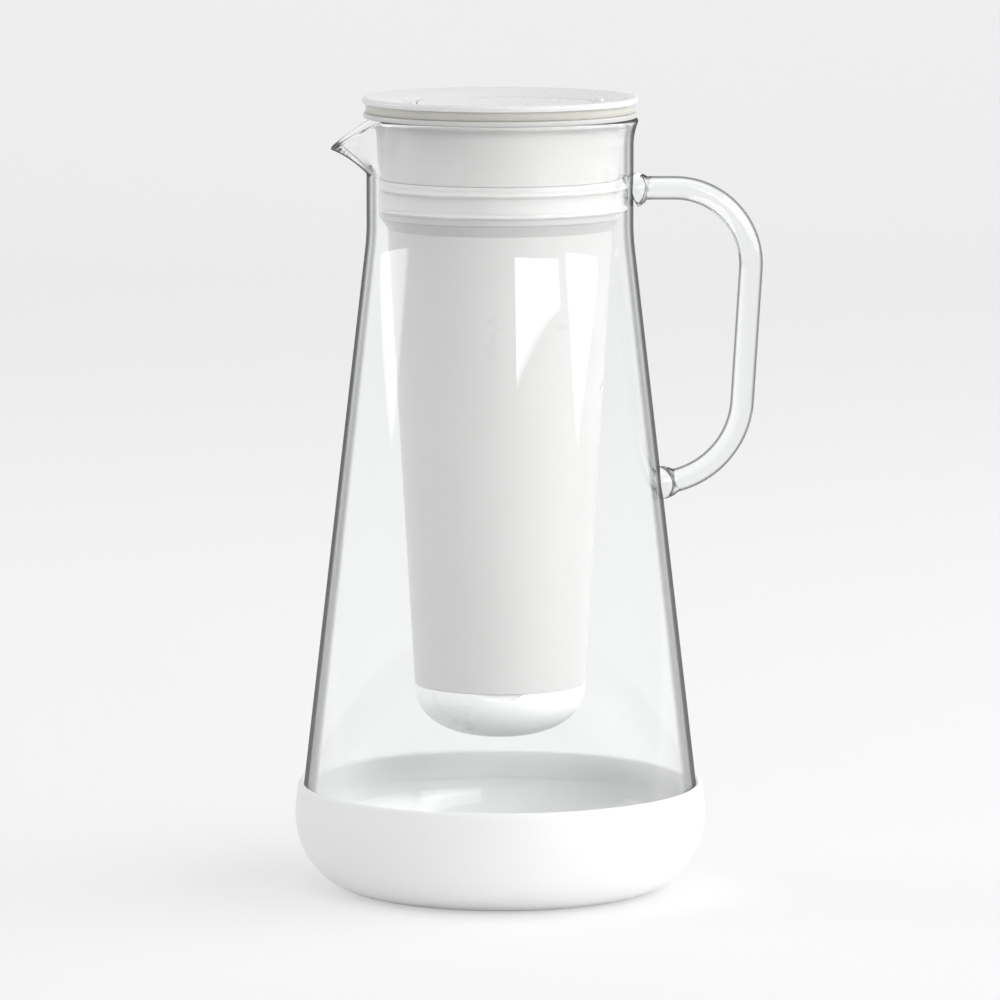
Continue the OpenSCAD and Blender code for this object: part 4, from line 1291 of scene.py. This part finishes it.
class PITCHER_OT_stage(bpy.types.Operator):
    """Pale floor, soft lamps, world and the camera"""

    bl_idname = "pitcher.stage"
    bl_label = "Stage"

    def execute(self, context):
        scene = context.scene
        s = scene.pitcher_stage
        self.floor(s)
        self.world(scene, s)
        middle, lower = (0, 0, 0.15), (0, 0, 0.1)
        self.lamp("key_lamp", (1.5, 0.05, 0.95), (2.4, 1.4), s.key_power, aim=middle)
        self.lamp("front_lamp", (1.2, -1.95, 1.0), (1.7, 1.1), s.front_power, aim=middle)
        self.lamp("top_lamp", (0.1, -0.2, 1.9), (1.6, 1.2), s.top_power, aim=lower)
        self.lamp("fill_lamp", (-1.6, 0.4, 0.8), (1.2, 1.2), s.fill_power, aim=lower)
        data = bpy.data.cameras.new("camera")
        data.lens = s.lens
        data.sensor_width = 36.0
        data.clip_start, data.clip_end = 0.1, 40.0
        camera = bpy.data.objects.new("camera", data)
        camera.location = (0.0, -s.distance, s.height)
        camera.rotation_euler = (math.pi / 2 - s.pitch, 0.0, 0.0)
        scene.collection.objects.link(camera)
        scene.camera = camera
        scene.view_settings.view_transform = "Standard"
        return {"FINISHED"}

    def lamp(self, name, at, size, power, aim):
        """A rectangular area lamp that faces a point."""
        data = bpy.data.lights.new(name, "AREA")
        data.shape = "RECTANGLE"
        data.size, data.size_y = size
        data.energy = power
        lamp = bpy.data.objects.new(name, data)
        lamp.location = at
        way = Vector(aim) - Vector(at)
        lamp.rotation_euler = way.to_track_quat("-Z", "Y").to_euler()
        bpy.context.scene.collection.objects.link(lamp)

    def floor(self, s):
        """Floor that sweeps up into a wall behind the object."""
        front, back, sweep_r, wall_top, half_w, columns = -3.2, 2.2, 1.2, 2.6, 1.6, 8
        line = [(y, 0.0) for y in stations(front, back, 12)]
        turns = stations(0, math.pi / 2, 16)[1:]
        line += [(back + sweep_r * math.sin(t), sweep_r - sweep_r * math.cos(t)) for t in turns]
        line += [(back + sweep_r, z) for z in stations(sweep_r, wall_top, 4)[1:]]
        bm = bmesh.new()
        rows = [[bm.verts.new((x, y, z)) for x in stations(-half_w, half_w, columns)] for y, z in line]
        for low, high in zip(rows, rows[1:]):
            for i in range(columns):
                bm.faces.new((low[i], low[i + 1], high[i + 1], high[i]))
        mesh = finished(bm, "stage_floor")
        obj = add_object("stage_floor", mesh)
        mesh.polygons.foreach_set("use_smooth", [True] * len(mesh.polygons))
        mesh.materials.append(self.floor_material(s))

    def floor_material(self, s):
        """Pale floor: plain to the eye and through glass, and it takes the object's shadow."""
        fall_start, fall_end, shadow_share = -0.6, 3.0, 0.5
        material = bpy.data.materials.new("stage_paper")
        material.use_nodes = True
        material.node_tree.nodes.clear()
        n = Nodes(material.node_tree)
        split = n.node("ShaderNodeSeparateXYZ")
        n.link(n.node("ShaderNodeTexCoord").outputs["Object"], split.inputs[0])
        fall = n.ranged(split.outputs["Y"], 0.0, 1.0, fall_start, fall_end, "SMOOTHSTEP")
        shade = n.blend_colour(fall, s.floor_near, s.floor_far)
        paper = n.node("ShaderNodeBsdfDiffuse")
        n.link(shade, paper.inputs["Color"])
        black = n.node("ShaderNodeBsdfDiffuse", Color=(0, 0, 0, 1))
        glow = n.node("ShaderNodeEmission")
        n.link(shade, glow.inputs["Color"])
        n.link(n.ranged(fall, s.glow, s.far_glow, 0.0, 1.0), glow.inputs["Strength"])
        lit = n.node("ShaderNodeAddShader")
        n.link(glow.outputs[0], lit.inputs[0])
        n.link(n.blend(shadow_share, black.outputs[0], paper.outputs[0]), lit.inputs[1])
        path = n.node("ShaderNodeLightPath").outputs
        seen = n.calc("MAXIMUM", path["Is Camera Ray"], path["Is Glossy Ray"])
        seen = n.calc("MAXIMUM", seen, path["Is Transmission Ray"])
        out = n.node("ShaderNodeOutputMaterial")
        n.link(n.blend(seen, paper.outputs[0], lit.outputs[0]), out.inputs["Surface"])
        return material

    def world(self, scene, s):
        """Pale studio around the stage: one strength for light, reflections and views through glass."""
        world = bpy.data.worlds.new("studio")
        world.use_nodes = True
        world.node_tree.nodes.clear()
        n = Nodes(world.node_tree)
        path = n.node("ShaderNodeLightPath").outputs
        room, mirrored, through = (
            n.node("ShaderNodeBackground", Color=(0.97, 0.98, 1.0, 1), Strength=value).outputs[0]
            for value in (s.room, s.mirrored, s.through)
        )
        light = n.blend(path["Is Glossy Ray"], room, mirrored)
        light = n.blend(path["Is Transmission Ray"], light, through)
        n.link(light, n.node("ShaderNodeOutputWorld").inputs["Surface"])
        scene.world = world


# ---------------------------------------------------------------- panel and main


GROUPS = {
    "pitcher_glass": PitcherGlass,
    "pitcher_base": PitcherBase,
    "pitcher_hopper": PitcherHopper,
    "pitcher_lid": PitcherLid,
    "pitcher_filter": PitcherFilter,
    "pitcher_stage": PitcherStage,
}

OPERATORS = (
    PITCHER_OT_stage,
    PITCHER_OT_glass,
    PITCHER_OT_base,
    PITCHER_OT_reservoir,
    PITCHER_OT_gasket,
    PITCHER_OT_cup,
    PITCHER_OT_lid,
    PITCHER_OT_door,
    PITCHER_OT_filter,
)


class PITCHER_PT_panel(bpy.types.Panel):
    """Sizes, colours and the steps that build the pitcher"""

    bl_label = "Water Filter Pitcher"
    bl_idname = "PITCHER_PT_panel"
    bl_space_type = "VIEW_3D"
    bl_region_type = "UI"
    bl_category = "Pitcher"

    def draw(self, context):
        for step in OPERATORS:
            self.layout.operator(step.bl_idname)
        for name, group in GROUPS.items():
            part = getattr(context.scene, name)
            box = self.layout.box()
            box.label(text=group.__doc__)
            for key in group.__annotations__:
                box.prop(part, key)


def register():
    for cls in (*GROUPS.values(), *OPERATORS, PITCHER_PT_panel):
        bpy.utils.register_class(cls)
    for name, group in GROUPS.items():
        setattr(bpy.types.Scene, name, PointerProperty(type=group))


def unregister():
    for name in GROUPS:
        delattr(bpy.types.Scene, name)
    for cls in reversed((*GROUPS.values(), *OPERATORS, PITCHER_PT_panel)):
        bpy.utils.unregister_class(cls)


def main():
    register()
    for step in OPERATORS:
        family, name = step.bl_idname.split(".")
        getattr(getattr(bpy.ops, family), name)()
    bpy.context.view_layer.update()


if __name__ == "__main__":
    main()
